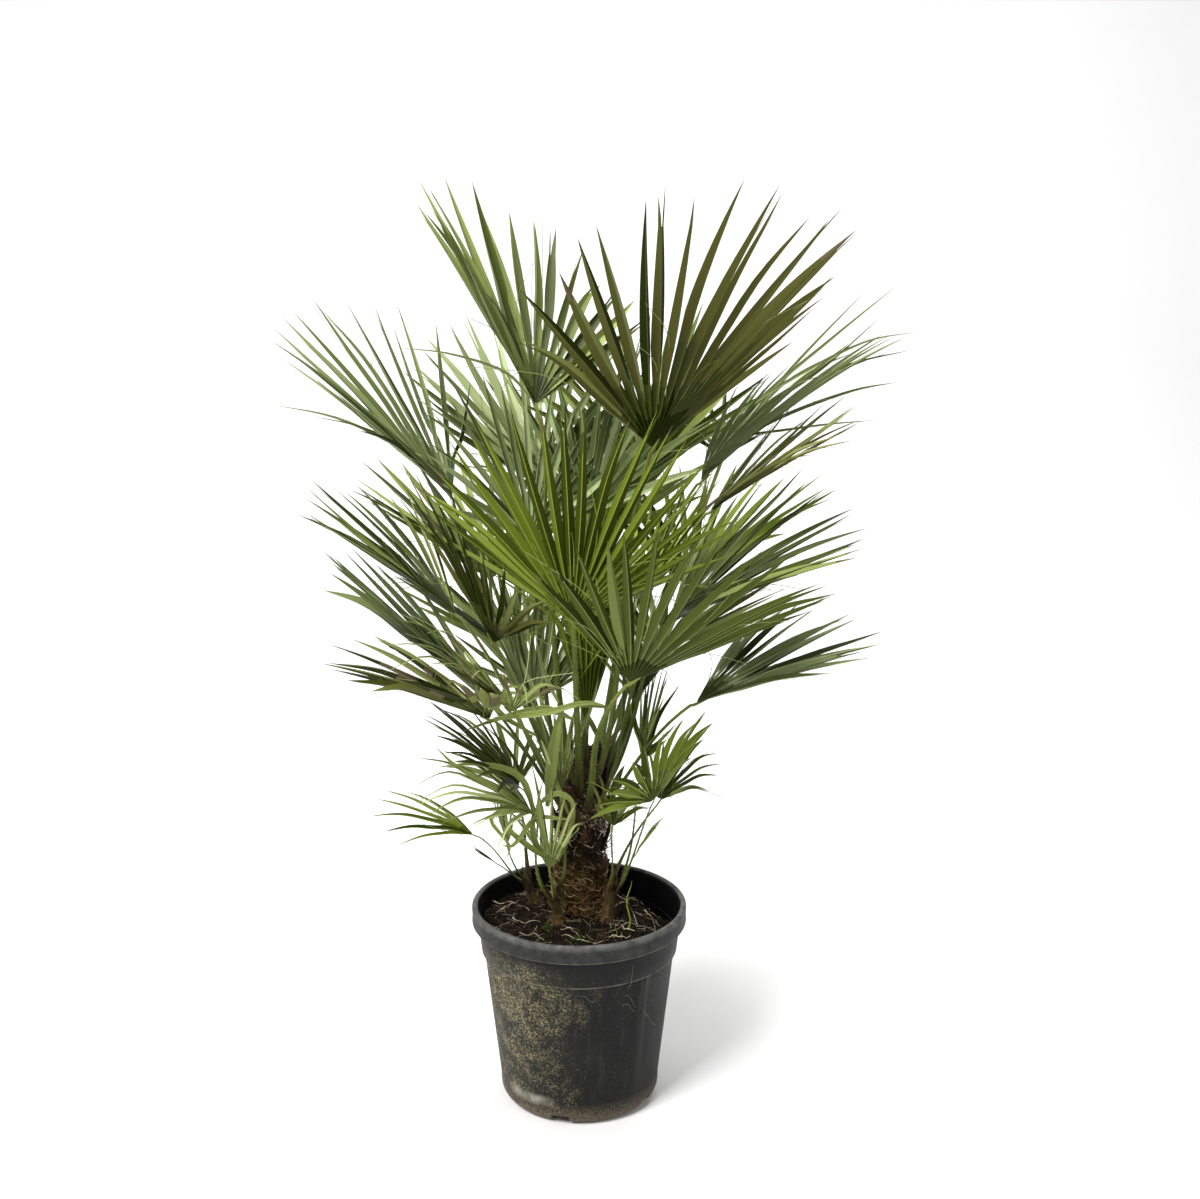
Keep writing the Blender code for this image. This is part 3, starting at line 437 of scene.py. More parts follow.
# Crumbs and roots lie above this height, and not on the plug's side
CRUMBS_FROM = 0.28
MOSS_TUFTS = ((-0.055, -0.052, 0.009), (-0.003, -0.101, 0.009), (0.012, -0.096, 0.006))
LAID_ROOTS = (
    ((-0.032, -0.098), (0.054, -0.112), 0.0008), ((-0.155, 0.070), (-0.088, 0.014), 0.0007),
    ((-0.142, 0.023), (-0.105, 0.067), 0.0005), ((0.070, 0.090), (0.107, -0.041), 0.0006),
    ((0.070, 0.045), (0.103, 0.067), 0.0005), ((0.098, -0.070), (0.060, -0.050), 0.0006),
    ((-0.100, -0.070), (-0.060, -0.110), 0.0006), ((0.020, -0.140), (-0.050, -0.130), 0.0005),
    ((-0.060, 0.135), (0.050, 0.140), 0.0006), ((0.120, 0.020), (0.135, -0.060), 0.0005),
    ((-0.120, -0.020), (-0.070, -0.035), 0.0006), ((0.045, -0.075), (0.100, -0.040), 0.0006),
    ((0.050, -0.100), (0.092, -0.088), 0.0007), ((-0.030, -0.060), (0.005, -0.085), 0.0006),
)
LAID_STEPS = 12
GRASS_STEPS = 8
GRASS_BLADES = (((0.085, -0.060), (0.088, -0.075, 0.432), 0.0017),
                ((0.060, -0.085), (0.072, -0.100, 0.372), 0.0008))
SUCKER_SLIMNESS = 0.80
# Heights between which a sucker's dry sheath turns into the fresh green stem
FRESH_FROM = {"sucker_left": (0.385, 0.410), "sucker_front": (0.368, 0.392),
              "sucker_right": (0.408, 0.430)}
# Long fibres wrapped round the trunk: how many, the span of heights above the compost,
# how far each climbs, and the share of light ones
WRAPS_LOW = (460, (0.004, 0.094), 0.014, 0.22)
WRAPS_HIGH = (360, (0.095, 0.235), 0.035, 0.5)
WRAP_RADII = (0.0006, 0.0013)
WRAP_STEPS = 10
TRUNK_ROWS = 110
TRUNK_SIDES = 96
# Old leaf bases: how many, where the lowest starts and how far up the highest, the turn
# from one to the next, and the spans of their rise in degrees and of their length
LEAF_BASES = 15
LEAF_BASE_FROM = 0.035
LEAF_BASE_CLIMB = 0.205
LEAF_BASE_TURN = 137.5
LEAF_BASE_RISE = (48.0, 70.0)
LEAF_BASE_LENGTH = (0.030, 0.058)
LEAF_BASE_STEPS = 6
LEAF_BASE_SIDES = 10
CURLED_FIBRES = 26
CURLED_STEPS = 10
SUCKER_STEPS = 36
SUCKER_SIDES = 20
SHEATHS = 4
ROOTLETS = 14
ROOTLET_STEPS = 5
# Seeds of the loose parts
LAID_SEED = 21
LEAF_BASE_SEED = 31
WRAP_LOW_SEED = 5
WRAP_HIGH_SEED = 6
CURLED_SEED = 12
SUCKER_SEED = 40
SHAG_SEED = 60
FAN_SEED = 100
THREAD_SEED = 500
RIBBON_SEED = 77

# Inputs of every sowing with their defaults; with these it takes each face
SOWING_INPUTS = (("Density", 1000.0), ("Seed", 0), ("Lowest", -1.0), ("Highest", 9.0),
                 ("Upright", -2.0), ("Smallest", 0.5), ("Largest", 1.0))

# Floor that turns up into a backdrop behind the plant
FLOOR_FRONT = -5.0
FLOOR_BACK = 2.2
FLOOR_HALF_WIDTH = 7.0
BACKDROP_BEND = 1.4
BACKDROP_TOP = 5.0
BACKDROP_STEPS = 12
# Camera and lamps: place, power in watts and size of each lamp
CAMERA_PLACE = (0.037, -2.6, 1.5)
CAMERA_PITCH = 12.8
CAMERA_LENS = 47.1
CAMERA_SENSOR = 36.0
LAMP_TARGET = (0.0, 0.0, 0.75)
LIGHTS = (
    ("key", (-1.8, -2.4, 3.4), 215.0, 1.5), ("fill", (2.6, -1.8, 1.8), 20.0, 2.2),
    ("top", (0.0, 0.2, 4.2), 120.0, 1.8), ("back", (0.8, 2.0, 3.0), 34.0, 1.6),
)


def level_way(angle):
    """Level unit vector at an angle from +X."""
    return Vector((math.cos(angle), math.sin(angle), 0.0))


def fan_frame(frond):
    """Axis of the fan, the way across it and the way its upper side looks."""
    heading, rise = math.radians(frond.heading), math.radians(frond.rise)
    level = level_way(heading)
    axis = level * math.cos(rise) + Vector((0, 0, math.sin(rise)))
    inward = Vector((0, 0, math.cos(rise))) - level * math.sin(rise)
    looks = inward * (1.0 - abs(frond.turn)) + Vector((0.0, -1.0, 0.2)) * frond.turn
    normal = (looks - axis * looks.dot(axis)).normalized()
    return axis, normal.cross(axis), normal


def ray(frond, frame, angle, lift=0.0):
    """Unit direction of a rib at an angle from the axis; the fan's sides are cupped up."""
    axis, side, normal = frame
    share = min(1.0, abs(angle) / math.radians(90.0))
    out = axis * math.cos(angle) + side * math.sin(angle)
    return (out + normal * (frond.cup * share ** CUP_POWER + lift)).normalized()


def sheet_point(frond, frame, angle, radius, lift=0.0):
    """A point of the fan with half the blade's thickness as a vector."""
    axis, side, _ = frame
    out = ray(frond, frame, angle, lift)
    across = (side * math.cos(angle) - axis * math.sin(angle)).normalized()
    half = out.cross(across).normalized() * (0.5 * THICKNESS_SHARE * frond.reach)
    return Vector(frond.hub) + out * radius, half, across


def rib_angles(frond, rng):
    """Angles of the leaflets, with the notches halfway between them."""
    step = math.radians(frond.spread) / frond.leaflets
    ribs = []
    for index in range(frond.leaflets):
        middle = (index + 0.5 - 0.5 * frond.leaflets) * step
        ribs.append(middle + step * ANGLE_SCATTER * rng.uniform(-1.0, 1.0))
    notches = [ribs[0] - 0.5 * step]
    notches += [0.5 * (a + b) for a, b in zip(ribs, ribs[1:])]
    notches.append(ribs[-1] + 0.5 * step)
    return ribs, notches


def palm_reach(frond, angle):
    """Radius of the fused palm, which is shorter at the fan's two sides."""
    share = min(1.0, abs(angle) / (math.radians(frond.spread) * 0.5))
    return frond.reach * (PALM_SHARE + (PALM_EDGE_SHARE - PALM_SHARE) * share ** 2)


def palm_points(frond, frame, notches):
    """Ends of the fused palm at its notches."""
    return [sheet_point(frond, frame, angle, palm_reach(frond, angle))[:2] for angle in notches]


def leaflet_points(frond, frame, rib, ends, lift, length):
    """Belly edges and tip of one leaflet that grows from two notch points."""
    droop = Vector((0, 0, -frond.droop * length))
    step = math.radians(frond.spread) / frond.leaflets
    level = math.sqrt(1.0 - ray(frond, frame, rib, lift).dot(frame[2]) ** 2)
    points = []
    for share in belly_shares(frond):
        middle, half, across = sheet_point(frond, frame, rib, length * share, lift)
        width = BELLY_WIDTH * frond.reach * (1.0 if share <= BELLY_SHARE else ARCHED_TAPER)
        width = min(width, BELLY_FILL * step * length * share * level)
        sag = droop * share * share
        points.append((middle - across * 0.5 * width + sag, half))
        points.append((middle + across * 0.5 * width + sag, half))
    tip, half, across = sheet_point(frond, frame, rib, length, lift)
    points.append((tip + droop, half))
    return list(ends) + points


def belly_shares(frond):
    """Stations of a leaflet's edges: a leaflet that arches has one more."""
    return ARCHED_SHARES if frond.droop >= ARCHED_DROOP else (BELLY_SHARE,)


def leaflet_faces(count):
    """Triangles of a leaflet's sheet: pairs of edge points, then the tip."""
    faces = []
    for low in range(0, count - 3, 2):
        faces += [(low, low + 2, low + 3), (low, low + 3, low + 1)]
    return faces + [(count - 3, count - 1, count - 2)]


def thickened(points, faces, extra=0.0):
    """Closed body of a sheet: its upper and lower side and the wall round its edge."""
    verts = [point + half + half.normalized() * extra for point, half in points]
    verts += [point - half - half.normalized() * extra for point, half in points]
    below = len(points)
    polygons = list(faces)
    polygons += [tuple(below + index for index in reversed(face)) for face in faces]
    used = {(face[k - 1], face[k]) for face in faces for k in range(3)}
    for start, end in sorted(used):
        if (end, start) not in used:
            polygons += [(start, below + start, below + end), (start, below + end, end)]
    return verts, polygons


class Space:
    """Bodies that are already placed, each with its owner and its box."""

    def __init__(self):
        self.bodies = []

    def add(self, owner, verts, polygons):
        self.bodies.append((owner, *surface(verts, polygons)))

    def touches(self, own, verts, polygons):
        """Body that touches the given one, leaving out the bodies that are its own."""
        tree, low, high = surface(verts, polygons)
        for other, other_tree, other_low, other_high in self.bodies:
            if other in own:
                continue
            if any(low[k] > other_high[k] or high[k] < other_low[k] for k in range(3)):
                continue
            if tree.overlap(other_tree):
                return other
        return None


def surface(verts, polygons):
    low = [min(vert[k] for vert in verts) for k in range(3)]
    high = [max(vert[k] for vert in verts) for k in range(3)]
    return BVHTree.FromPolygons(verts, polygons), low, high


def bezier(points, t):
    a, b, c, d = points
    u = 1.0 - t
    place = a * u ** 3 + b * 3 * u * u * t + c * 3 * u * t * t + d * t ** 3
    slope = (b - a) * 3 * u * u + (c - b) * 6 * u * t + (d - c) * 3 * t * t
    return place, slope.normalized()


def seat_ray(centre, bearing, tilt):
    """Ray from outside towards a stem's seat centre, as its start and direction."""
    out = level_way(bearing) * math.cos(tilt)
    out += Vector((0, 0, math.sin(tilt)))
    return centre + out * SEAT_RAY_START, -out


def stalk_path(plan, swerve, shift):
    """Way of a stalk from its seat to the fan, and the facet that it stands on."""
    (tree, _, _), centre = plan.stem
    axis = plan.frame[0]
    end = Vector(plan.frond.hub) - axis * HUB_SETBACK
    bearing = math.atan2(end.y - centre.y, end.x - centre.x) + math.radians(shift)
    start, towards = seat_ray(centre, bearing, plan.tilt)
    seat, facet, _, _ = tree.ray_cast(start, towards)
    if facet.dot(towards) > 0.0:
        facet = -facet
    plane = seat + facet * SEAT_GAP
    chord = end - plane
    leave = chord.normalized()
    short = max(0.0, SEAT_GRIP - leave.dot(facet))
    leave = (leave + facet * short * SEAT_GRIP_GAIN).normalized()
    arrive = (chord.normalized() + axis).normalized()
    aside = chord.cross(UP)
    aside = aside.normalized() * swerve if aside.length > 1e-6 else Vector((swerve, 0, 0))
    pull = chord.length * STALK_PULL
    path = (plane, plane + leave * pull + aside, end - arrive * pull + aside, end)
    return path, (plane, facet, bezier(path, 0.0)[1])


def stalk_section(plan, path, share):
    """Middle of a stalk, the ways along, across and through it, its width and depth."""
    chord = path[3] - path[0]
    inward = UP - Vector((chord.x, chord.y, 0.0)).normalized() * STALK_HOLLOW_LEAN
    middle, along = bezier(path, share)
    looks = inward.normalized().lerp(plan.frame[2], share ** 1.5)
    across = plan.frame[1] if share == 1.0 else looks.cross(along).normalized()
    through = along.cross(across).normalized()
    width = plan.size * (STALK_WIDTH_FOOT + share * (STALK_WIDTH_HUB - STALK_WIDTH_FOOT))
    depth = plan.size * (STALK_DEPTH_FOOT + share * (STALK_DEPTH_HUB - STALK_DEPTH_FOOT))
    return middle, along, across, through, width, depth


def stalk_sheet_points(plan, path):
    """Sheet points of a stalk from its seat to the fan, two for each section."""
    points = []
    for step in range(STALK_STEPS + 1):
        middle, _, across, through, width, depth = stalk_section(plan, path, step / STALK_STEPS)
        for hand in (-0.5, 0.5):
            points.append((middle + across * hand * width, through * 0.5 * depth))
    return points


def seated_on(plane, facet, along, place):
    """Slides a corner of the foot along the stalk until it lies in the seat's plane."""
    return place + along * ((plane - place).dot(facet) / along.dot(facet))


def stalk_faces(count, hub, first, last):
    """Triangles of the stalk's sheet and of its joint with the hub and the palm's sides."""
    faces = []
    for low in range(0, count - 2, 2):
        faces += [(low, low + 2, low + 3), (low, low + 3, low + 1)]
    right, left = count - 2, count - 1
    return faces + [(right, first, hub), (hub, last, left), (right, hub, left)]


def seated(sheet, seat, extra=0.0):
    """Closed body of a sheet whose foot is cut parallel to the facet that it stands on."""
    points, faces = sheet
    verts, polygons = thickened(points, faces, extra)
    below = len(points)
    for index in (0, 1, below, below + 1):
        verts[index] = seated_on(*seat, verts[index])
    return verts, polygons


class Plan:
    """Everything that is settled about one frond before its mesh is made."""

    def __init__(self, frond, stem_name, stem, tilt, size, rng):
        self.frond = frond
        self.stem_name = stem_name
        self.stem = stem
        self.tilt = tilt
        self.size = size
        self.frame = fan_frame(frond)
        self.ribs, self.notches = rib_angles(frond, rng)
        self.palm = palm_points(frond, self.frame, self.notches)
        self.hub = (Vector(frond.hub), self.frame[2] * 0.5 * THICKNESS_SHARE * frond.reach)
        self.half_spread = math.radians(frond.spread) * 0.5
        self.step = math.radians(frond.spread) / frond.leaflets
        self.lengths, self.lifts = [], []
        for rib in self.ribs:
            share = min(1.0, abs(rib) / self.half_spread)
            length = 1.0 - (1.0 - SIDE_LEAFLET_SHARE) * share ** 2
            self.lengths.append(frond.reach * length * (1.0 - LENGTH_SCATTER * rng.random()))
            self.lifts.append(LIFT_SCATTER * rng.uniform(-1.0, 1.0))
        self.leaflets = [None] * frond.leaflets

    def palm_sheet(self):
        """Sheet of the fused palm round the hub."""
        faces = [(0, index, index + 1) for index in range(1, len(self.palm))]
        return [self.hub] + self.palm, faces

    def stalk_sheet(self, sections):
        """Sheet of the stalk up to the hub and the palm's two sides."""
        count = len(sections)
        points = list(sections) + [self.hub, self.palm[0], self.palm[-1]]
        return points, stalk_faces(count, count, count + 1, count + 2)

    def leaflet(self, index, lift, share):
        return leaflet_points(self.frond, self.frame, self.ribs[index], self.palm[index:index + 2],
                              self.lifts[index] + lift, self.lengths[index] * share)


def plan_stalk(plan, space):
    """Takes the first way round its neighbours that leaves the stalk clear of them."""
    for shift, swerve in itertools.product(SEAT_SHIFTS, SWERVES):
        path, seat = stalk_path(plan, swerve, shift)
        sections = stalk_sheet_points(plan, path)
        body = seated(plan.stalk_sheet(sections), seat, MARGIN)
        if not space.touches((plan.frond.name, plan.stem_name), *body):
            plan.path, plan.seat = path, seat
            space.add(plan.frond.name, *body)
            return
    raise ValueError(f"no way for the stalk of {plan.frond.name}")


def plan_leaflet(plan, index, space):
    """Lifts or shortens a leaflet until it is clear, or leaves it out."""
    for share in LENGTHS:
        for lift in LIFTS:
            points = plan.leaflet(index, lift, share)
            body = thickened(points, leaflet_faces(len(points)), MARGIN)
            if not space.touches((plan.frond.name,), *body):
                space.add(plan.frond.name, *body)
                plan.leaflets[index] = (plan.lifts[index] + lift, plan.lengths[index] * share)
                return


def plan_fronds():
    """Settles palms first, then stalks, then leaflets from the middle of each fan out."""
    rng = random.Random(SEED)
    stems = {"trunk": (packed_surface("trunk"), trunk_centre(TRUNK_SEAT_HEIGHT))}
    groups = [("trunk", TRUNK_FRONDS, TRUNK_SEATS, 1.0)]
    for sucker in SUCKERS:
        foot = Vector((*sucker.foot, SOIL_TOP))
        centre = foot.lerp(Vector(sucker.top), SUCKER_SEAT_SHARE)
        stems[sucker.name] = (packed_surface(sucker.name), centre)
        groups.append((sucker.name, SUCKER_FRONDS[sucker.name], SUCKER_SEATS, SUCKER_STALK))
    plans = []
    for stem, fronds, (low, high), size in groups:
        for rank, frond in enumerate(fronds):
            tilt = math.radians(low + (high - low) * rank / (len(fronds) - 1))
            plans.append(Plan(frond, stem, stems[stem], tilt, size, rng))
    space = Space()
    for name, (body, _) in stems.items():
        space.bodies.append((name, *body))
    for plan in plans:
        space.add(plan.frond.name, *thickened(*plan.palm_sheet(), MARGIN))
    for plan in plans:
        plan_stalk(plan, space)
    for plan in plans:
        for index in sorted(range(plan.frond.leaflets), key=lambda index: abs(plan.ribs[index])):
            plan_leaflet(plan, index, space)
    return plans


def packed_surface(node):
    """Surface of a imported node, to find where a stalk stands on it."""
    mesh = frame["nodes"][node].data
    return surface([vert.co.copy() for vert in mesh.vertices],
                   [tuple(face.vertices) for face in mesh.polygons])


def place_object(name, data):
    """A new object of the scene, at the origin."""
    item = bpy.data.objects.new(name, data)
    bpy.context.scene.collection.objects.link(item)
    return item


def settled(host):
    """Plain mesh of an object with its modifiers applied; the object goes."""
    graph = bpy.context.evaluated_depsgraph_get()
    mesh = bpy.data.meshes.new_from_object(host.evaluated_get(graph), depsgraph=graph)
    bpy.data.objects.remove(host, do_unlink=True)
    return mesh


class Wiring:
    """Short calls to add nodes to a tree and to join their sockets."""

    def add(self, kind, inputs=(), **settings):
        node = self.tree.nodes.new(kind)
        for key, value in settings.items():
            setattr(node, key, value)
        for key, value in dict(inputs).items():
            self.feed(node.inputs[key], value)
        return node

    def feed(self, socket, value):
        if isinstance(value, bpy.types.NodeSocket):
            self.tree.links.new(value, socket)
        else:
            socket.default_value = value

    def math(self, operation, first, second=0.0, third=0.0):
        node = self.add("ShaderNodeMath", {0: first, 1: second, 2: third}, operation=operation)
        return node.outputs[0]

    def vector_math(self, operation, first, second=(0.0, 0.0, 0.0), scale=1.0):
        node = self.add("ShaderNodeVectorMath", {0: first, 1: second}, operation=operation)
        if operation == "SCALE":
            self.feed(node.inputs["Scale"], scale)
        return node.outputs["Value" if operation in ("DISTANCE", "LENGTH") else "Vector"]

    def span(self, value, low, high, to_low=0.0, to_high=1.0):
        """Takes a value from one span to another, and holds it inside."""
        node = self.add("ShaderNodeMapRange", {
            "Value": value, "From Min": low, "From Max": high, "To Min": to_low, "To Max": to_high})
        return node.outputs["Result"]

    def cloud(self, where, scale, detail=4.0, roughness=0.55):
        node = self.add("ShaderNodeTexNoise", {
            "Vector": where, "Scale": scale, "Detail": detail, "Roughness": roughness})
        return node.outputs[0]

    def parts(self, where):
        """X, Y and Z of a vector."""
        return self.add("ShaderNodeSeparateXYZ", {0: where}).outputs


class Finish(Wiring):
    """A material under construction, from its plain colour and roughness."""

    def __init__(self, name, colour, roughness, specular=0.12):
        self.material = bpy.data.materials.new(name)
        self.material.use_nodes = True
        self.tree = self.material.node_tree
        self.shader = self.tree.nodes["Principled BSDF"]
        self.set("Base Color", colour)
        self.set("Roughness", roughness)
        self.set("Specular IOR Level", specular)
        self.colour = colour

    def set(self, key, value):
        self.feed(self.shader.inputs[key], value)

    def place(self, stretch=(1.0, 1.0, 1.0)):
        """Object coordinates, stretched along the axes."""
        where = self.add("ShaderNodeTexCoord").outputs["Object"]
        if stretch == (1.0, 1.0, 1.0):
            return where
        return self.add("ShaderNodeMapping", {"Vector": where, "Scale": stretch}).outputs["Vector"]

    def paint_over(self, amount, colour):
        """Lays a colour over what there is, by an amount from 0 to 1."""
        mix = self.add("ShaderNodeMix", data_type="RGBA")
        self.feed(mix.inputs[0], amount)
        self.feed(mix.inputs[6], self.colour)
        self.feed(mix.inputs[7], colour)
        self.colour = mix.outputs[2]
        self.set("Base Color", self.colour)

    def bump(self, height, distance, strength=1.0):
        node = self.add("ShaderNodeBump", {
            "Height": height, "Distance": distance, "Strength": strength})
        self.set("Normal", node.outputs["Normal"])


class Grower(Wiring):
    """A Geometry Nodes tree under construction, with named inputs."""

    def __init__(self, name):
        self.tree = bpy.data.node_groups.new(name, "GeometryNodeTree")
        for way in ("INPUT", "OUTPUT"):
            self.tree.interface.new_socket("Geometry", in_out=way, socket_type="NodeSocketGeometry")
        self.entry = self.tree.nodes.new("NodeGroupInput")
        self.exit = self.tree.nodes.new("NodeGroupOutput")
        self.named = {}

    def number(self, name, default):
        kind = "NodeSocketInt" if isinstance(default, int) else "NodeSocketFloat"
        item = self.tree.interface.new_socket(name, in_out="INPUT", socket_type=kind)
        item.default_value = default
        self.named[name] = item.identifier
        return self.entry.outputs[name]

    def close(self, geometry, finish):
        """Ends the tree: instances are made real and take the finish."""
        real = self.add("GeometryNodeRealizeInstances", {"Geometry": geometry})
        dressed = self.add("GeometryNodeSetMaterial", {
            "Geometry": real.outputs["Geometry"], "Material": finish.material})
        self.feed(self.exit.inputs["Geometry"], dressed.outputs["Geometry"])

    def grow(self, mesh, **values):
        """Runs the tree on a mesh and returns the result as a plain mesh."""
        host = place_object("host", mesh)
        modifier = host.modifiers.new("grow", "NODES")
        modifier.node_group = self.tree
        for name, value in values.items():
            modifier[self.named[name]] = value
        return settled(host)


def paint(red, green, blue):
    """Linear colour from display values of 0 to 255."""
    linear = []
    for value in (red, green, blue):
        share = value / 255.0
        linear.append(share / 12.92 if share <= 0.04045 else ((share + 0.055) / 1.055) ** 2.4)
    return (*linear, 1.0)


def mottled(name, light, dark, scale, low, high, roughness=0.85, detail=4.0):
    """A finish of one colour with small clouds of another."""
    finish = Finish(name, paint(*light), roughness)
    clouds = finish.cloud(finish.place(), scale, detail)
    finish.paint_over(finish.span(clouds, low, high), paint(*dark))
    return finish


def add_piece(name, mesh, finishes, nodes=()):
    """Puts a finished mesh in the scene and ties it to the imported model."""
    piece = place_object(name, mesh)
    mesh.name = name
    if finishes:
        dealt = [face.material_index for face in mesh.polygons]
        mesh.materials.clear()
        for finish in finishes:
            mesh.materials.append(finish.material)
        mesh.polygons.foreach_set("material_index", dealt)
    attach(piece, BODY)
    if nodes:
        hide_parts(*nodes)
    return piece


def mesh_of(bm, smooth_angle=40.0):
    """Plain mesh of a bmesh, smooth but for its sharp edges."""
    mesh = bpy.data.meshes.new("built")
    bmesh.ops.recalc_face_normals(bm, faces=bm.faces[:])
    bm.to_mesh(mesh)
    bm.free()
    mesh.shade_smooth()
    mesh.set_sharp_from_angle(angle=math.radians(smooth_angle))
    return mesh


def lofted(bm, rings, finish=0):
    """Closed body through rings of equal length; a ring of one point is a tip."""
    made = [[bm.verts.new(point) for point in ring] for ring in rings]
    for lower, upper in zip(made, made[1:]):
        sides = max(len(lower), len(upper))
        for index in range(sides):
            after = (index + 1) % sides
            corners = [lower[index % len(lower)], lower[after % len(lower)],
                       upper[after % len(upper)], upper[index % len(upper)]]
            distinct = list(dict.fromkeys(corners))
            bm.faces.new(distinct).material_index = finish
    for ring in (made[0], made[-1]):
        if len(ring) > 2:
            bm.faces.new(ring).material_index = finish


def circle(sides):
    """Angles of the corners of a circle."""
    return [math.tau * k / sides for k in range(sides)]


def taper(radius, loss, steps):
    """Radii that shrink evenly by a share of the first one."""
    return [radius * (1.0 - loss * k / steps) for k in range(steps + 1)]


def tube(bm, path, radii, sides=6, finish=0):
    """Round body along a path, with a radius for each of its points."""
    rings = []
    for index, (place, radius) in enumerate(zip(path, radii)):
        along = (path[min(index + 1, len(path) - 1)] - path[max(index - 1, 0)]).normalized()
        across = along.cross(Vector((0.3, 0.2, 0.9))).normalized()
        other = along.cross(across)
        rings.append([place + (across * math.cos(angle) + other * math.sin(angle)) * radius
                      for angle in circle(sides)])
    lofted(bm, rings, finish)


def polar(radius, angle, height):
    """Place at a radius and an angle round Z."""
    return Vector((radius * math.cos(angle), radius * math.sin(angle), height))


def turned(profile, sides, shape=None):
    """A solid of revolution about Z from (radius, height); shape may change a point."""
    bm = bmesh.new()
    rings = []
    for radius, height in profile:
        if radius == 0.0:
            rings.append([Vector((0.0, 0.0, height))])
            continue
        ring = []
        for angle in circle(sides):
            wide = shape(radius, height, angle) if shape else radius
            ring.append(polar(wide, angle, height))
        rings.append(ring)
    lofted(bm, rings)
    return bm


def smoothstep(value, low, high):
    share = min(1.0, max(0.0, (value - low) / (high - low)))
    return share * share * (3.0 - 2.0 * share)


def arc(centre, radius, start, end, steps):
    """Points of an arc in the (radius, height) plane, angles in degrees."""
    points = []
    for step in range(steps + 1):
        angle = math.radians(start + (end - start) * step / steps)
        points.append((centre[0] + radius * math.cos(angle), centre[1] + radius * math.sin(angle)))
    return points


def pot_radius(height):
    """Outer radius of the pot's tapered body."""
    return POT_BASE_RADIUS + POT_FLARE * height


def inner_radius(height):
    """Inner radius of the pot's wall, which narrows below the mouth and at the heel."""
    if height < POT_HEEL:
        share = (height - POT_FLOOR) / (POT_HEEL - POT_FLOOR)
        low = POT_BASE_RADIUS - POT_FOOT_BEVEL
        return low + share * (pot_radius(POT_HEEL) - POT_WALL - low)
    if height <= POT_COLLAR_FOOT:
        return pot_radius(height) - POT_WALL
    low = pot_radius(POT_COLLAR_FOOT) - POT_WALL
    share = (height - POT_COLLAR_FOOT) / (POT_HEIGHT - POT_LIP - POT_COLLAR_FOOT)
    return low + share * (POT_MOUTH_RADIUS - low)


def pot_profile():
    """Outline of the pot from the middle of its foot, round its rim, to its floor."""
    collar = pot_radius(POT_COLLAR_FOOT) + POT_COLLAR_STEP
    collar_top = collar + POT_FLARE * (POT_RIM_FOOT - POT_COLLAR_FOOT)
    flat = POT_BASE_RADIUS - POT_FOOT_BEVEL
    heel = pot_radius(POT_FOOT_BEVEL) - flat
    points = [(0.0, 0.0), (0.06, 0.0)]
    for step in range(POT_HEEL_STEPS):
        turn = math.radians(90.0 * step / POT_HEEL_STEPS)
        points.append((flat + heel * math.sin(turn), POT_FOOT_BEVEL * (1.0 - math.cos(turn))))
    for row in range(POT_SIDE_ROWS + 1):
        height = POT_FOOT_BEVEL + (POT_COLLAR_FOOT - POT_FOOT_BEVEL) * row / POT_SIDE_ROWS
        points.append((pot_radius(height), height))
    points += [(collar - 0.0008, POT_COLLAR_FOOT + 0.0004), (collar, POT_COLLAR_FOOT + 0.0014)]
    points += [(collar + 0.5 * (collar_top - collar), 0.5 * (POT_COLLAR_FOOT + POT_RIM_FOOT))]
    points += [(collar_top, POT_RIM_FOOT - 0.001)]
    roll = POT_LIP * 0.6
    points += arc((POT_RIM_RADIUS - roll, POT_RIM_FOOT + roll), roll, -90, -5, 5)
    points += [(POT_RIM_RADIUS - 0.0006, 0.5 * (POT_RIM_FOOT + POT_HEIGHT))]
    points += arc((POT_RIM_RADIUS - POT_LIP, POT_HEIGHT - POT_LIP), POT_LIP, 0, 180, 12)
    ledge, inside = INNER_RING_HEIGHT, inner_radius(INNER_RING_HEIGHT)
    points += [(inside + 0.0012, ledge + 0.0012), (inside - 0.0006, ledge)]
    points += [(inner_radius(height) - 0.0006 * (height > 0.28), height)
               for height in (ledge - 0.004, POT_COLLAR_FOOT, 0.15, POT_HEEL, POT_FLOOR)]
    return points + [(0.06, POT_FLOOR), (0.0, POT_FLOOR)]


def panelled(sizes):
    """Wide flat panels between low ribs, sunk into the body under the collar."""
    pitch = 360.0 / sizes.panels
    half = 0.5 * pitch * PANEL_SHARE

    def shape(radius, height, angle):
        if height >= POT_COLLAR_FOOT + 0.0002 or radius < pot_radius(height) - 0.5 * POT_WALL:
            return radius
        away = abs((math.degrees(angle) - PANEL_MIDDLE + 0.5 * pitch) % pitch - 0.5 * pitch)
        panel = 1.0 - smoothstep(away, half - 1.6, half)
        panel *= smoothstep(height, 0.028, 0.040)
        proud = POT_COLLAR_STEP * smoothstep(height, 0.05, POT_COLLAR_FOOT)
        return radius + (1.0 - panel) * proud - panel * sizes.panel_depth
    return shape


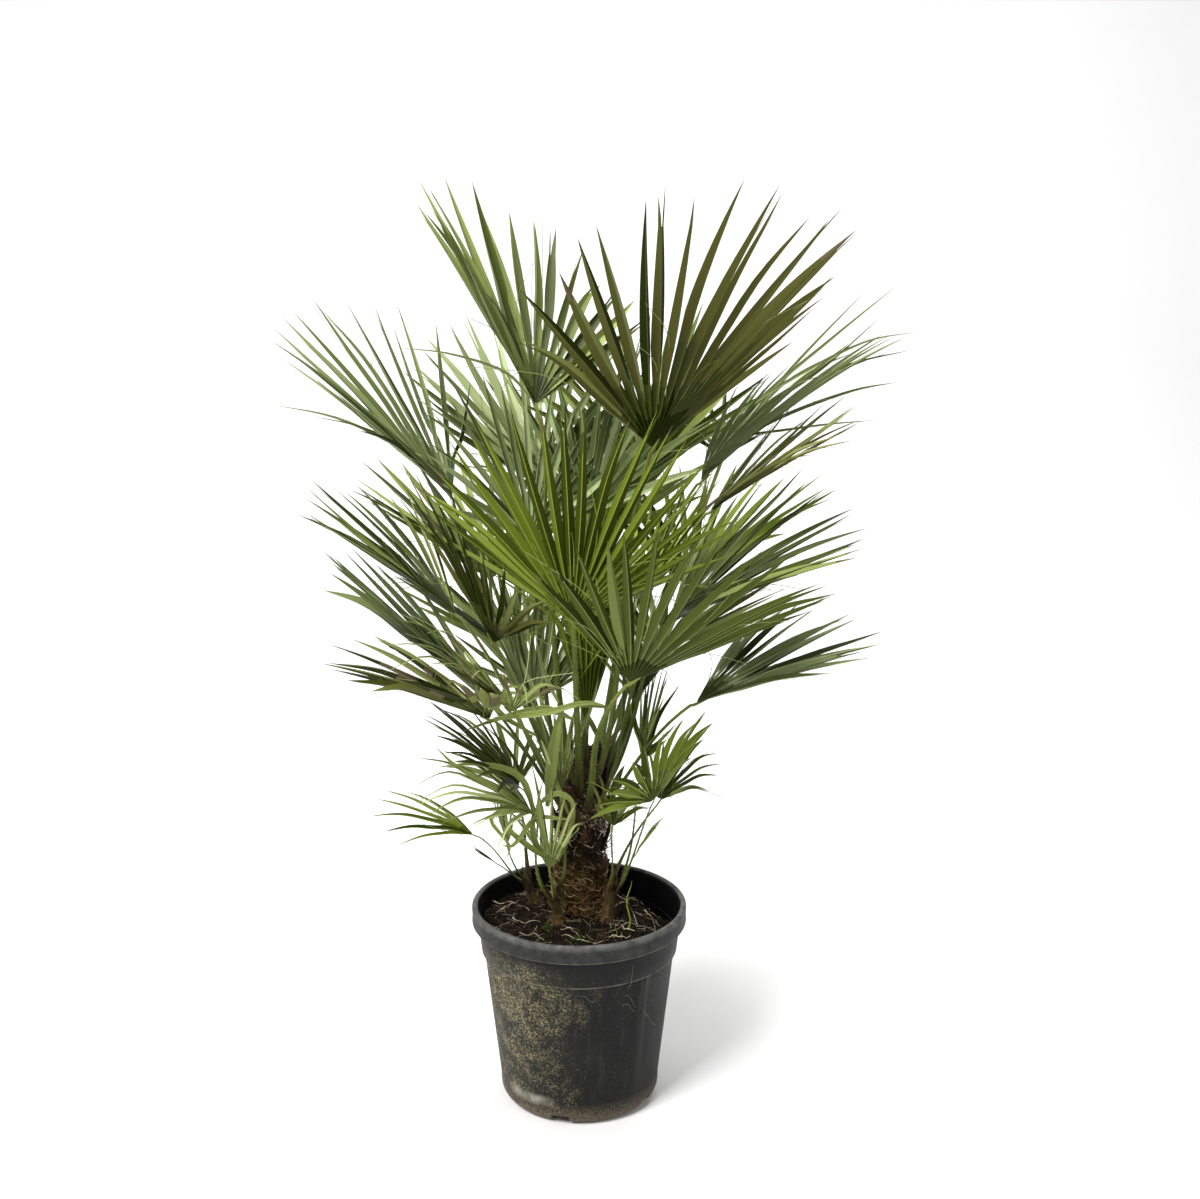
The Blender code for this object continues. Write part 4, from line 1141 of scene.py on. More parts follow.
def cut_notches(mesh):
    """Cuts the drainage notches through the pot's foot and returns the mesh."""
    bm = bmesh.new()
    for index in range(NOTCH_COUNT):
        bearing = math.radians(NOTCH_FIRST + index * 360.0 / NOTCH_COUNT)
        turn = Matrix.Rotation(bearing, 4, "Z")
        box = Matrix.Diagonal((2.0 * NOTCH_REACH, NOTCH_WIDTH, 2.0 * NOTCH_RISE, 1.0))
        place = turn @ Matrix.Translation((POT_BASE_RADIUS, 0.0, 0.0)) @ box
        bmesh.ops.create_cube(bm, size=1.0, matrix=place)
    cutter, host = place_object("notches", mesh_of(bm)), place_object("host", mesh)
    cut = host.modifiers.new("notches", "BOOLEAN")
    cut.operation = "DIFFERENCE"
    cut.object = cutter
    done = settled(host)
    bpy.data.objects.remove(cutter, do_unlink=True)
    return done


def pot_finish(sizes):
    """Weathered black plastic: dust on the rim with a painted highlight along the lip, painted light
    lines at the foot of the collar and of the rim, algae on the left, dirt at the foot, and painted
    shade on the inner wall below the lip.
    """
    finish = Finish("nursery_plastic", (*sizes.colour, 1.0), 0.5, 0.14)
    where = finish.place()
    parts = finish.parts(where)
    radius = finish.vector_math("LENGTH", finish.vector_math("MULTIPLY", where, (1.0, 1.0, 0.0)))
    bearing = finish.math("ARCTAN2", parts["Y"], parts["X"])

    def both(first, second):
        return finish.math("MULTIPLY", first, second)

    def band(value, middle, half, soft):
        away = finish.math("ABSOLUTE", finish.math("SUBTRACT", value, middle))
        return finish.span(away, half + soft, half)

    cloud = finish.cloud(where, 11.0, 6.0)
    grime_and_highlight_noise = finish.cloud(where, 48.0, 6.0, 0.7)
    dust = finish.cloud(where, 330.0, 5.0, 0.8)
    finish.paint_over(finish.span(cloud, 0.42, 0.72, 0.0, 0.4), paint(42, 42, 37))
    rain = finish.cloud(finish.place((90.0, 90.0, 6.0)), 1.0, 5.0)
    finish.paint_over(finish.span(rain, 0.56, 0.78, 0.0, 0.25), paint(70, 70, 61))
    rim = finish.span(parts["Z"], POT_RIM_FOOT - 0.001, POT_RIM_FOOT + 0.001)
    finish.paint_over(both(rim, finish.span(grime_and_highlight_noise, 0.38, 0.68, 0.12, 0.5)), paint(74, 75, 73))
    # Painted highlight along the lip, broken up by grime
    lip_highlight = finish.span(parts["Z"], POT_HEIGHT - 0.012, POT_HEIGHT - 0.002)
    finish.paint_over(both(lip_highlight, finish.span(grime_and_highlight_noise, 0.34, 0.62, 0.2, 0.6)), paint(118, 118, 114))
    # Painted highlights: thin light lines along the foot of the collar and of the rim, broken up by
    # grime
    for level in (POT_COLLAR_FOOT + 0.0016, POT_RIM_FOOT + 0.001):
        line = band(parts["Z"], level, 0.0004, 0.0014)
        finish.paint_over(both(line, finish.span(grime_and_highlight_noise, 0.35, 0.55, 0.0, 0.7)), paint(118, 116, 104))
    left = finish.math("ADD", parts["X"], finish.span(cloud, 0.3, 0.7, -0.06, 0.06))
    left = finish.span(left, 0.015, -0.13)
    below = finish.span(parts["Z"], POT_RIM_FOOT + 0.002, POT_COLLAR_FOOT - 0.01)
    patch = finish.span(finish.cloud(where, 24.0, 6.0, 0.65), 0.40, 0.58, 0.16, 1.0)
    film = both(both(left, below), patch)
    finish.paint_over(both(film, 0.5), paint(50, 47, 34))
    speck = finish.span(finish.cloud(where, 250.0, 6.0, 0.75), 0.515, 0.56)
    web = finish.cloud(finish.place((110.0, 110.0, 70.0)), 1.0, 5.0, 0.7)
    web = both(band(web, 0.5, 0.004, 0.010), finish.span(grime_and_highlight_noise, 0.42, 0.56))
    algae = both(film, finish.math("MAXIMUM", speck, web))
    finish.paint_over(finish.span(algae, 0.05, 0.8, 0.0, 0.9), paint(154, 145, 108))
    pale = both(both(left, below), finish.span(dust, 0.60, 0.66))
    finish.paint_over(both(pale, 0.9), paint(222, 214, 184))
    fleck = both(finish.span(finish.cloud(where, 420.0, 3.0, 0.85), 0.65, 0.70), below)
    finish.paint_over(both(fleck, 0.6), paint(164, 160, 142))
    chalk = both(band(bearing, CHALK_BEARING, 0.18, 0.22),
                 band(parts["Z"], CHALK_HEIGHT, 0.003, 0.010))
    finish.paint_over(both(chalk, finish.span(grime_and_highlight_noise, 0.30, 0.55, 0.1, 0.75)), paint(158, 154, 142))
    earth = both(finish.span(parts["Z"], 0.044, 0.006), finish.span(dust, 0.38, 0.60))
    finish.paint_over(both(earth, 0.85), paint(132, 117, 95))
    # Painted shade: the inner wall from the collar's height up towards the lip is made near black
    slope = finish.math("SUBTRACT", radius, finish.math("MULTIPLY", parts["Z"], POT_FLARE))
    inside = both(finish.span(slope, POT_BASE_RADIUS + 0.0012, POT_BASE_RADIUS),
                  finish.span(parts["Z"], POT_HEIGHT, POT_HEIGHT - 0.006))
    inside = both(inside, finish.span(parts["Z"], 0.277, 0.279))
    finish.paint_over(both(inside, 0.96), paint(3, 4, 4))
    finish.set("Roughness", finish.span(finish.math("ADD", algae, cloud), 0.3, 1.2, 0.45, 0.85))
    finish.bump(finish.math("ADD", algae, finish.cloud(where, 160.0, 4.0)), 0.0006, 0.7)
    return finish


def cobweb_mesh():
    """Fine threads that hang on the pot's side."""
    bm = bmesh.new()
    for start, end, sway in COBWEBS:
        path = []
        for step in range(COBWEB_STEPS + 1):
            share = step / COBWEB_STEPS
            angle = math.radians(start[0] + (end[0] - start[0]) * share)
            height = start[1] + (end[1] - start[1]) * share + sway * math.sin(7.0 * share)
            out = pot_radius(height) + (0.006 if height > POT_COLLAR_FOOT - 0.004 else 0.001)
            path.append(polar(out, angle, height))
        tube(bm, path, taper(COBWEB_RADIUS, 0.0, COBWEB_STEPS), 4)
    return mesh_of(bm)


def make_pot(context):
    sizes = context.scene.palm_pot
    mesh = mesh_of(turned(pot_profile(), POT_SIDES, panelled(sizes)), 32.0)
    add_piece("pot_wall", cut_notches(mesh), [pot_finish(sizes)], ["pot"])
    thread = Finish("cobweb", paint(128, 125, 112), 0.8)
    thread.bump(thread.cloud(thread.place(), 900.0), 0.0001)
    add_piece("cobwebs", cobweb_mesh(), [thread])


def soil_height(bearing):
    """Height of the compost where it meets the wall, at a bearing in degrees."""
    away = (bearing - SOIL_HOLLOW_BEARING + 180.0) % 360.0 - 180.0
    hollow = math.exp(-(away / SOIL_HOLLOW_WIDTH) ** 2)
    return SOIL_TOP - SOIL_EDGE_DROP - SOIL_HOLLOW_DROP * hollow


def bed_height(radius, angle, relief):
    """Height of the compost's rough top at a radius and an angle."""
    edge = soil_height(math.degrees(angle))
    level = SOIL_TOP + (edge - SOIL_TOP) * smoothstep(radius, SOIL_LEVEL_RADIUS - 0.02, 0.172)
    x, y = radius * math.cos(angle), radius * math.sin(angle)
    humps = noise.noise(Vector((x, y, 0.3)) * 26.0)
    clods = noise.noise(Vector((x, y, 1.7)) * 90.0)
    return level + relief * (humps + 0.4 * clods)


def bed_at(x, y, relief=0.0):
    """Height of the compost's top at a place."""
    return bed_height(math.hypot(x, y), math.atan2(y, x), relief)


def bed_mesh(relief):
    """Closed plug of compost with a rough top."""
    bm = bmesh.new()
    rings = [[Vector((0.0, 0.0, bed_height(0.0, 0.0, relief)))]]
    for row in range(1, SOIL_RINGS + 1):
        ring = []
        for angle in circle(SOIL_SIDES):
            edge = inner_radius(soil_height(math.degrees(angle))) - SOIL_GAP
            radius = edge * row / SOIL_RINGS
            ring.append(polar(radius, angle, bed_height(radius, angle, relief)))
        rings.append(ring)
    for height in (POT_COLLAR_FOOT, POT_HEEL, POT_FLOOR + CLEARANCE):
        radius = inner_radius(height) - SOIL_GAP
        rings.append([polar(radius, angle, height) for angle in circle(SOIL_SIDES)])
    lofted(bm, rings)
    return mesh_of(bm, 80.0)


def compost_finish():
    finish = Finish("compost", paint(13, 10, 8), 0.95, 0.08)
    where = finish.place()
    finish.paint_over(finish.span(finish.cloud(where, 60.0, 6.0), 0.45, 0.68), paint(36, 25, 17))
    chips = finish.cloud(finish.place((1.0, 1.6, 1.0)), 340.0, 3.0, 0.7)
    finish.paint_over(finish.span(chips, 0.61, 0.67, 0.0, 0.8), paint(108, 84, 58))
    film = finish.span(finish.cloud(where, 22.0), 0.56, 0.72, 0.0, 0.35)
    finish.paint_over(film, paint(48, 50, 26))
    finish.bump(finish.cloud(where, 210.0, 6.0, 0.7), 0.003, 1.0)
    return finish


def random_number(tree, low, high, seed):
    return tree.add("FunctionNodeRandomValue", {2: low, 3: high, "Seed": seed}).outputs[1]


def random_vector(tree, low, high, seed):
    node = tree.add("FunctionNodeRandomValue", {0: low, 1: high, "Seed": seed},
                    data_type="FLOAT_VECTOR")
    return node.outputs[0]


def tapered_strand(tree, start, middle, end, radius, tip, steps, sides):
    """A bent strand that narrows to its tip, as geometry for instances."""
    line = tree.add("GeometryNodeCurveQuadraticBezier", {
        "Resolution": steps, "Start": start, "Middle": middle, "End": end}).outputs["Curve"]
    along = tree.add("GeometryNodeSplineParameter").outputs["Factor"]
    ring = tree.add("GeometryNodeCurvePrimitiveCircle", {"Resolution": sides, "Radius": radius})
    strand = tree.add("GeometryNodeCurveToMesh", {
        "Curve": line, "Profile Curve": ring.outputs["Curve"], "Fill Caps": True,
        "Scale": tree.span(along, 0.0, 1.0, 1.0, tip)})
    return strand.outputs["Mesh"]


def sown(tree, shape, lean, spin):
    """Sows a shape over the faces between two heights, along their normals or askew."""
    entry = tree.entry.outputs
    height = tree.parts(tree.add("GeometryNodeInputPosition").outputs[0])["Z"]
    upright = tree.parts(tree.add("GeometryNodeInputNormal").outputs[0])["Z"]
    chosen = True
    for value, limit, test in ((height, "Lowest", "GREATER_THAN"), (height, "Highest", "LESS_THAN"),
                               (upright, "Upright", "GREATER_THAN")):
        passed = tree.add("FunctionNodeCompare", {0: value, 1: entry[limit]}, operation=test)
        both = tree.add("FunctionNodeBooleanMath", {0: chosen, 1: passed.outputs[0]})
        chosen = both.outputs[0]
    points = tree.add("GeometryNodeDistributePointsOnFaces", {
        "Mesh": entry["Geometry"], "Selection": chosen,
        "Density": entry["Density"], "Seed": entry["Seed"]})
    askew = random_vector(tree, (-1.0, -1.0, -1.0), (1.0, 1.0, 1.0), entry["Seed"])
    way = tree.vector_math("SCALE", points.outputs["Normal"], scale=1.0 - lean)
    way = tree.vector_math("ADD", way, tree.vector_math("SCALE", askew, scale=lean))
    turn = tree.add("FunctionNodeAlignRotationToVector", {"Vector": way}, axis="Z").outputs[0]
    if spin:
        roll = random_vector(tree, (0.0, 0.0, 0.0), (0.0, 0.0, math.tau), entry["Seed"])
        turn = tree.add("FunctionNodeRotateRotation", {
            "Rotation": turn, "Rotate By": roll}, rotation_space="LOCAL").outputs[0]
    size = random_number(tree, entry["Smallest"], entry["Largest"], entry["Seed"])
    placed = tree.add("GeometryNodeInstanceOnPoints", {
        "Points": points.outputs["Points"], "Instance": shape, "Rotation": turn, "Scale": size})
    return placed.outputs["Instances"]


def sower(name):
    """An empty sowing tree with the inputs that every sowing has."""
    tree = Grower(name)
    for key, default in SOWING_INPUTS:
        tree.number(key, default)
    return tree


def crumb_mesh(bed, finish, density):
    """Crumbs of bark and peat that lie on the bed."""
    tree = sower("crumbs")
    ball = tree.add("GeometryNodeMeshIcoSphere", {"Radius": 1.0, "Subdivisions": 1})
    squash = tree.add("GeometryNodeTransform", {
        "Geometry": ball.outputs["Mesh"], "Scale": (1.3, 0.8, 0.55)})
    tree.close(sown(tree, squash.outputs["Geometry"], 0.75, True), finish)
    return tree.grow(bed, Density=density, Seed=3, Lowest=CRUMBS_FROM, Upright=0.4,
                     Smallest=0.0012, Largest=0.0042)


def straw_mesh(bed, finish, density):
    """Pale dry roots, bent and lying over the bed."""
    tree = sower("dry_roots")
    strand = tapered_strand(tree, (-0.5, 0.0, 0.0), (0.05, 0.17, 0.16), (0.5, -0.06, 0.03),
                            0.0085, 0.3, 9, 4)
    tree.close(sown(tree, strand, 0.22, True), finish)
    return tree.grow(bed, Density=density, Seed=8, Lowest=CRUMBS_FROM, Upright=0.4,
                     Smallest=0.008, Largest=0.042)


def moss_mesh(finish):
    """Short pointed leaves of moss, in the tufts in front of the stems."""
    tufts = bmesh.new()
    for x, y, size in MOSS_TUFTS:
        middle = Matrix.Translation((x, y, bed_at(x, y) - 0.35 * size))
        bmesh.ops.create_icosphere(tufts, subdivisions=3, radius=size, matrix=middle)
    tree = sower("moss")
    leaf = tapered_strand(tree, (0.0, 0.0, 0.0), (0.05, 0.0, 0.6), (0.35, 0.0, 1.0),
                          0.10, 0.1, 3, 3)
    tree.close(sown(tree, leaf, 0.35, True), finish)
    return tree.grow(mesh_of(tufts), Density=240000.0, Seed=5, Lowest=SOIL_TOP - 0.004,
                     Smallest=0.0035, Largest=0.0075)


def laid_root(rng, start, end, sag):
    """A long root that lies from one place to another in a loose line."""
    points = []
    for step in range(LAID_STEPS + 1):
        share = step / LAID_STEPS
        x = start[0] + share * (end[0] - start[0]) + 0.003 * math.sin(5.0 * share + sag)
        y = start[1] + share * (end[1] - start[1]) + 0.005 * math.sin(math.pi * share * 1.7 + sag)
        rise = 0.003 + 0.004 * abs(math.sin(7.0 * share + sag)) + 0.001 * rng.random()
        points.append(Vector((x, y, bed_at(x, y, 0.005) + rise)))
    return points


def make_compost(context):
    sizes = context.scene.palm_compost
    bed = bed_mesh(sizes.relief)
    earth = compost_finish()
    root = mottled("dry_root", (216, 204, 174), (108, 86, 60), 34.0, 0.42, 0.58, 0.8, 2.0)
    root.bump(root.cloud(root.place(), 900.0), 0.0002)
    green = mottled("moss", (46, 62, 22), (78, 94, 36), 130.0, 0.4, 0.65, 0.75)
    add_piece("compost_crumbs", crumb_mesh(bed, earth, sizes.crumbs), [])
    add_piece("dry_roots", straw_mesh(bed, root, sizes.roots), [])
    add_piece("moss_tufts", moss_mesh(green), [])
    rng = random.Random(LAID_SEED)
    bm = bmesh.new()
    for start, end, radius in LAID_ROOTS:
        path = laid_root(rng, start, end, rng.uniform(0.0, 6.0))
        tube(bm, path, taper(radius, 0.5, LAID_STEPS), 5)
    add_piece("long_roots", mesh_of(bm), [root])
    grass = Finish("grass", paint(132, 150, 54), 0.6)
    blades = bmesh.new()
    for foot, tip, width in GRASS_BLADES:
        base = Vector((*foot, bed_at(*foot)))
        path, radii = [], []
        for step in range(GRASS_STEPS + 1):
            share = step / GRASS_STEPS
            path.append(base.lerp(Vector(tip), share) + Vector((0.004 * math.sin(step), 0, 0)))
            radii.append(width * (1.0 - share ** 2) + 0.0001)
        tube(blades, path, radii, 4)
    add_piece("grass_blades", mesh_of(blades), [grass])
    add_piece("compost_bed", bed, [earth], ["compost"])


def trunk_centre(above):
    """Trunk's axis at a height above the compost."""
    x, y = TRUNK_FOOT
    return Vector((x + TRUNK_LEAN * above, y, SOIL_TOP + CLEARANCE + above))


def trunk_radius(above):
    """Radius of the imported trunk, read between its rings."""
    for (low, wide), (high, narrow) in zip(TRUNK_RINGS, TRUNK_RINGS[1:]):
        if above <= high:
            return wide + (narrow - wide) * (above - low) / (high - low)
    return TRUNK_RINGS[-1][1]


def trunk_core():
    """Smooth closed core of the trunk, with its foot a little way into the compost."""
    rings = []
    for row in range(TRUNK_ROWS + 1):
        above = TRUNK_RINGS[-1][0] * row / TRUNK_ROWS
        centre, radius = trunk_centre(above), trunk_radius(above)
        rings.append([centre + radius * level_way(angle) for angle in circle(TRUNK_SIDES)])
    foot = [point - Vector((0.0, 0.0, 0.012)) for point in rings[0]]
    bm = bmesh.new()
    lofted(bm, [foot] + rings)
    return mesh_of(bm, 80.0)


def trunk_jacket(core, finish, relief):
    """Matted jacket: the core pushed out by upright fibres and by old leaf bases."""
    tree = Grower("fibre_jacket")
    height = tree.number("Relief", relief)
    grain = tree.number("Fibre Scale", 1.0)
    place = tree.add("GeometryNodeInputPosition").outputs[0]
    upright = tree.vector_math("MULTIPLY", place, (130.0, 130.0, 50.0))
    strands = tree.cloud(tree.vector_math("SCALE", upright, scale=grain), 1.0, 5.0)
    lumps = tree.cloud(place, 30.0, 3.0)
    push = tree.math("MULTIPLY_ADD", strands, 0.8, tree.math("MULTIPLY", lumps, 0.9))
    push = tree.math("MULTIPLY", tree.math("SUBTRACT", push, 0.8), height)
    way = tree.add("GeometryNodeInputNormal").outputs[0]
    moved = tree.add("GeometryNodeSetPosition", {
        "Geometry": tree.entry.outputs["Geometry"],
        "Offset": tree.vector_math("SCALE", way, scale=push)})
    tree.close(moved.outputs["Geometry"], finish)
    return tree.grow(core, Relief=relief)


def jacket_finish():
    """Golden brown matting with moss low down, near black where the fibres fray."""
    finish = Finish("trunk_fibre", paint(84, 64, 38), 0.92)
    where = finish.place()
    strands = finish.cloud(finish.place((240.0, 240.0, 60.0)), 1.0, 6.0)
    finish.paint_over(finish.span(strands, 0.40, 0.62), paint(40, 28, 17))
    finish.paint_over(finish.span(strands, 0.60, 0.70, 0.0, 0.8), paint(152, 124, 80))
    height = finish.parts(where)["Z"]
    patches = finish.cloud(where, 34.0, 5.0)
    low = finish.span(height, 0.46, 0.39)
    moss = finish.math("MULTIPLY", finish.span(patches, 0.50, 0.62), low)
    finish.paint_over(finish.math("MULTIPLY", moss, 0.6), paint(80, 84, 36))
    ragged = finish.math("ADD", height, finish.span(patches, 0.3, 0.7, -0.030, 0.030))
    dark = finish.span(ragged, SOIL_TOP + DARK_FROM - 0.03, SOIL_TOP + DARK_FROM + 0.02, 0.0, 0.92)
    finish.paint_over(dark, paint(22, 17, 13))
    finish.bump(strands, 0.003, 0.9)
    return finish


def fibre_mesh(core, finish, density, seed, lowest, highest, largest):
    """Loose fibres that stand out of the jacket between two heights."""
    tree = sower("loose_fibres")
    strand = tapered_strand(tree, (0.0, 0.0, -0.05), (0.30, 0.10, 0.55), (0.05, 0.34, 1.0),
                            0.024, 0.25, 7, 3)
    tree.close(sown(tree, strand, 0.72, True), finish)
    return tree.grow(core, Density=density, Seed=seed, Lowest=lowest, Highest=highest,
                     Smallest=0.4 * largest, Largest=largest)


def leaf_base_mesh(rng):
    """Cut stubs of old leaves, in a spiral up the trunk, with ragged fibrous ends."""
    bm = bmesh.new()
    for index in range(LEAF_BASES):
        above = LEAF_BASE_FROM + LEAF_BASE_CLIMB * index / LEAF_BASES
        bearing = math.radians(LEAF_BASE_TURN * index + 40.0)
        out = level_way(bearing)
        side = UP.cross(out)
        root = trunk_centre(above) + out * (trunk_radius(above) - 0.006)
        rise = math.radians(rng.uniform(*LEAF_BASE_RISE))
        way = out * math.cos(rise) + UP * math.sin(rise)
        length = rng.uniform(*LEAF_BASE_LENGTH)
        rings = []
        for step in range(LEAF_BASE_STEPS + 1):
            share = step / LEAF_BASE_STEPS
            centre = root + way * length * share + out * 0.004 * math.sin(share * 3.0)
            wide = (0.013 - 0.006 * share) * (1.0 + 0.08 * rng.uniform(-1, 1))
            thick = 0.0048 - 0.0022 * share
            through = side.cross(way).normalized()
            ring = []
            for angle in circle(LEAF_BASE_SIDES):
                ragged = 0.003 * rng.random() if step == LEAF_BASE_STEPS else 0.0
                ring.append(centre + side * wide * math.cos(angle)
                            + through * thick * math.sin(angle) + way * ragged)
            rings.append(ring)
        lofted(bm, rings)
    return mesh_of(bm, 50.0)


def husk_finish(name, light, dark, along):
    """Dry streaky leaf base or sheath, with its streaks along the stem."""
    finish = Finish(name, light, 0.75)
    streaks = finish.cloud(finish.place(along), 1.0, 5.0)
    finish.paint_over(finish.span(streaks, 0.38, 0.62), dark)
    finish.bump(streaks, 0.0012, 0.8)
    return finish


def wrapped_fibres(rng, count, span, climb, light_share):
    """Long fibres that wrap round the trunk in waves; a share of them is light."""
    bm = bmesh.new()
    for number in range(count):
        above, rise = rng.uniform(*span), rng.uniform(-climb, climb)
        bearing, sweep = rng.uniform(0.0, math.tau), rng.uniform(0.2, 0.9) * rng.choice((-1, 1))
        wave, phase = rng.uniform(0.001, 0.007), rng.uniform(0.0, 6.0)
        stand = rng.uniform(0.001, 0.008)
        path = []
        for step in range(WRAP_STEPS + 1):
            share = step / WRAP_STEPS
            height = max(0.001, above + rise * share + wave * math.sin(phase + 7.0 * share))
            angle = bearing + sweep * share + 0.6 * wave * math.cos(phase + 9.0 * share) / 0.04
            reach = trunk_radius(height) + 0.0032 + stand * math.sin(math.pi * share)
            path.append(trunk_centre(height) + reach * level_way(angle))
        radius = rng.uniform(*WRAP_RADII)
        light = int(number < light_share * count)
        tube(bm, path, [radius * (1.0 - 0.06 * step) for step in range(WRAP_STEPS + 1)], 4, light)
    return mesh_of(bm)


def curled_fibres(rng):
    """The few long dark fibres that curl away from the trunk at its right."""
    bm = bmesh.new()
    for _ in range(CURLED_FIBRES):
        above = rng.uniform(0.10, 0.20)
        bearing = math.radians(rng.uniform(-75.0, 40.0))
        out = level_way(bearing)
        start = trunk_centre(above) + out * (trunk_radius(above) - 0.002)
        aside = UP.cross(out) * rng.uniform(-1.0, 1.0)
        length, turn = rng.uniform(0.02, 0.05), rng.uniform(2.0, 5.0)
        path = []
        for step in range(CURLED_STEPS + 1):
            share = step / CURLED_STEPS
            curl = out * math.sin(turn * share) + UP * (1.0 - math.cos(turn * share)) * 0.7
            path.append(start + (curl + aside * share * 0.6) * length * 0.6)
        tube(bm, path, taper(0.0005, 0.6, CURLED_STEPS), 4)
    return mesh_of(bm)


def make_trunk(context):
    sizes = context.scene.palm_trunk
    core = trunk_core()
    middle = SOIL_TOP + DARK_FROM
    golden = mottled("golden_fibre", (118, 94, 56), (62, 46, 28), 120.0, 0.4, 0.6)
    black = mottled("black_fibre", (24, 18, 14), (74, 58, 42), 160.0, 0.48, 0.66)
    straw = mottled("bleached_fibre", (198, 172, 126), (150, 122, 78), 90.0, 0.45, 0.6, 0.8)
    ash = mottled("frayed_fibre", (196, 178, 150), (52, 40, 30), 110.0, 0.42, 0.56, 0.8)
    low = fibre_mesh(core, golden, sizes.fibres, 4, SOIL_TOP, middle, 0.022)
    high = fibre_mesh(core, black, 2.4 * sizes.fibres, 9, middle - 0.02, SOIL_TOP + 0.285, 0.034)
    husk = husk_finish("old_leaf_base", paint(82, 56, 36), paint(38, 26, 18), (160.0, 160.0, 26.0))
    stubs = leaf_base_mesh(random.Random(LEAF_BASE_SEED))
    jacket = trunk_jacket(core, jacket_finish(), sizes.relief)
    add_piece("trunk_fibres_low", low, [])
    add_piece("trunk_fibres_high", high, [])
    wraps = wrapped_fibres(random.Random(WRAP_LOW_SEED), *WRAPS_LOW)
    add_piece("trunk_wraps_low", wraps, [golden, straw])
    wraps = wrapped_fibres(random.Random(WRAP_HIGH_SEED), *WRAPS_HIGH)
    add_piece("trunk_wraps_high", wraps, [black, ash])
    add_piece("trunk_fibres_curled", curled_fibres(random.Random(CURLED_SEED)), [black])
    add_piece("old_leaf_bases", stubs, [husk])
    add_piece("trunk_jacket", jacket, [], ["trunk"])


def sucker_mesh(sucker, rng):
    """Slender stem wrapped in overlapping sheaths, with a swollen foot and a thin tip."""
    foot = Vector((*sucker.foot, SOIL_TOP - 0.008))
    top = Vector(sucker.top)
    along = (top - foot).normalized()
    side = along.cross(Vector((0.2, 1.0, 0.0))).normalized()
    other = along.cross(side)
    rings = []
    for step in range(SUCKER_STEPS + 1):
        share = step / SUCKER_STEPS
        radius = sucker.foot_radius + share * (sucker.top_radius - sucker.foot_radius)
        radius *= SUCKER_SLIMNESS + 0.45 * math.exp(-(share / 0.16) ** 2)
        radius *= 1.06 - 0.16 * ((share * SHEATHS) % 1.0)
        radius *= 1.0 - 0.62 * smoothstep(share, 0.62, 1.0)
        centre = foot.lerp(top, share)
        ring = []
        for angle in circle(SUCKER_SIDES):
            lump = noise.noise(Vector((4.0 * math.cos(angle), 4.0 * math.sin(angle), 9.0 * share)))
            reach = radius * (1.0 + 0.09 * lump)
            ring.append(centre + (side * math.cos(angle) + other * math.sin(angle)) * reach)
        rings.append(ring)
    rings.append([top + along * sucker.top_radius])
    bm = bmesh.new()
    lofted(bm, rings)
    for _ in range(ROOTLETS):
        angle = rng.uniform(0.0, math.tau)
        out = side * math.cos(angle) + other * math.sin(angle)
        start = foot + along * 0.014 + out * sucker.foot_radius * 0.9
        fall = rng.uniform(0.010, 0.022)
        path = [start + out * fall * k / ROOTLET_STEPS - UP * fall * 0.9 * (k / ROOTLET_STEPS) ** 2
                for k in range(ROOTLET_STEPS + 1)]
        tube(bm, path, taper(0.0011, 0.5, ROOTLET_STEPS), 5)
    return mesh_of(bm, 45.0)


def make_suckers(context):
    looks = {
        "sucker_left": (paint(78, 62, 38), paint(42, 32, 21), paint(82, 88, 42)),
        "sucker_front": (paint(98, 80, 44), paint(58, 42, 26), paint(116, 122, 62)),
        "sucker_right": (paint(90, 68, 40), paint(36, 28, 19), paint(92, 96, 40)),
    }
    beard = mottled("rootlets", (132, 110, 72), (64, 50, 32), 120.0, 0.4, 0.6)
    for number, sucker in enumerate(SUCKERS):
        light, dark, fresh = looks[sucker.name]
        finish = husk_finish(sucker.name + "_sheath", light, dark, (220.0, 220.0, 30.0))
        height = finish.parts(finish.place())["Z"]
        ragged = finish.math("MULTIPLY_ADD", finish.cloud(finish.place(), 160.0), 0.03, height)
        low, high = FRESH_FROM[sucker.name]
        finish.paint_over(finish.span(ragged, low, high, 0.0, 0.9), fresh)
        mesh = sucker_mesh(sucker, random.Random(SUCKER_SEED + number))
        shag = fibre_mesh(mesh, beard, 17000.0, SHAG_SEED + number, SOIL_TOP - 0.004,
                          SOIL_TOP + 0.032, 0.020)
        add_piece(sucker.name + "_rootlets", shag, [])
        add_piece(sucker.name + "_stem", mesh, [finish], [sucker.name])


class Blade:
    """Thin pleated sheet: points with half their thickness and their place on the leaf."""

    def __init__(self):
        self.points, self.halves, self.marks = [], [], []
        self.faces, self.tops, self.unders = [], [], []

    def point(self, place, half, mark):
        self.points.append(place)
        self.halves.append(half)
        self.marks.append(mark)
        return len(self.points) - 1

    def face(self, corners, top, under):
        self.faces.append(corners)
        self.tops.append(top)
        self.unders.append(under)

    def between(self, near, far, k, top, under):
        """Face from column k to the next between two rows, or up to a tip."""
        ahead = far[k:k + 2] if len(far) > 1 else far
        self.face((near[k], *ahead, near[k + 1]), top, under)

    def normals(self):
        """Mean normal of the faces round each point."""
        sums = [Vector((0.0, 0.0, 0.0)) for _ in self.points]
        for face in self.faces:
            a, b, c = (self.points[face[k]] for k in (0, 1, 2))
            normal = (b - a).cross(c - a)
            if len(face) == 4:
                normal += (c - a).cross(self.points[face[3]] - a)
            for index in face:
                sums[index] += normal
        return [total.normalized() for total in sums]


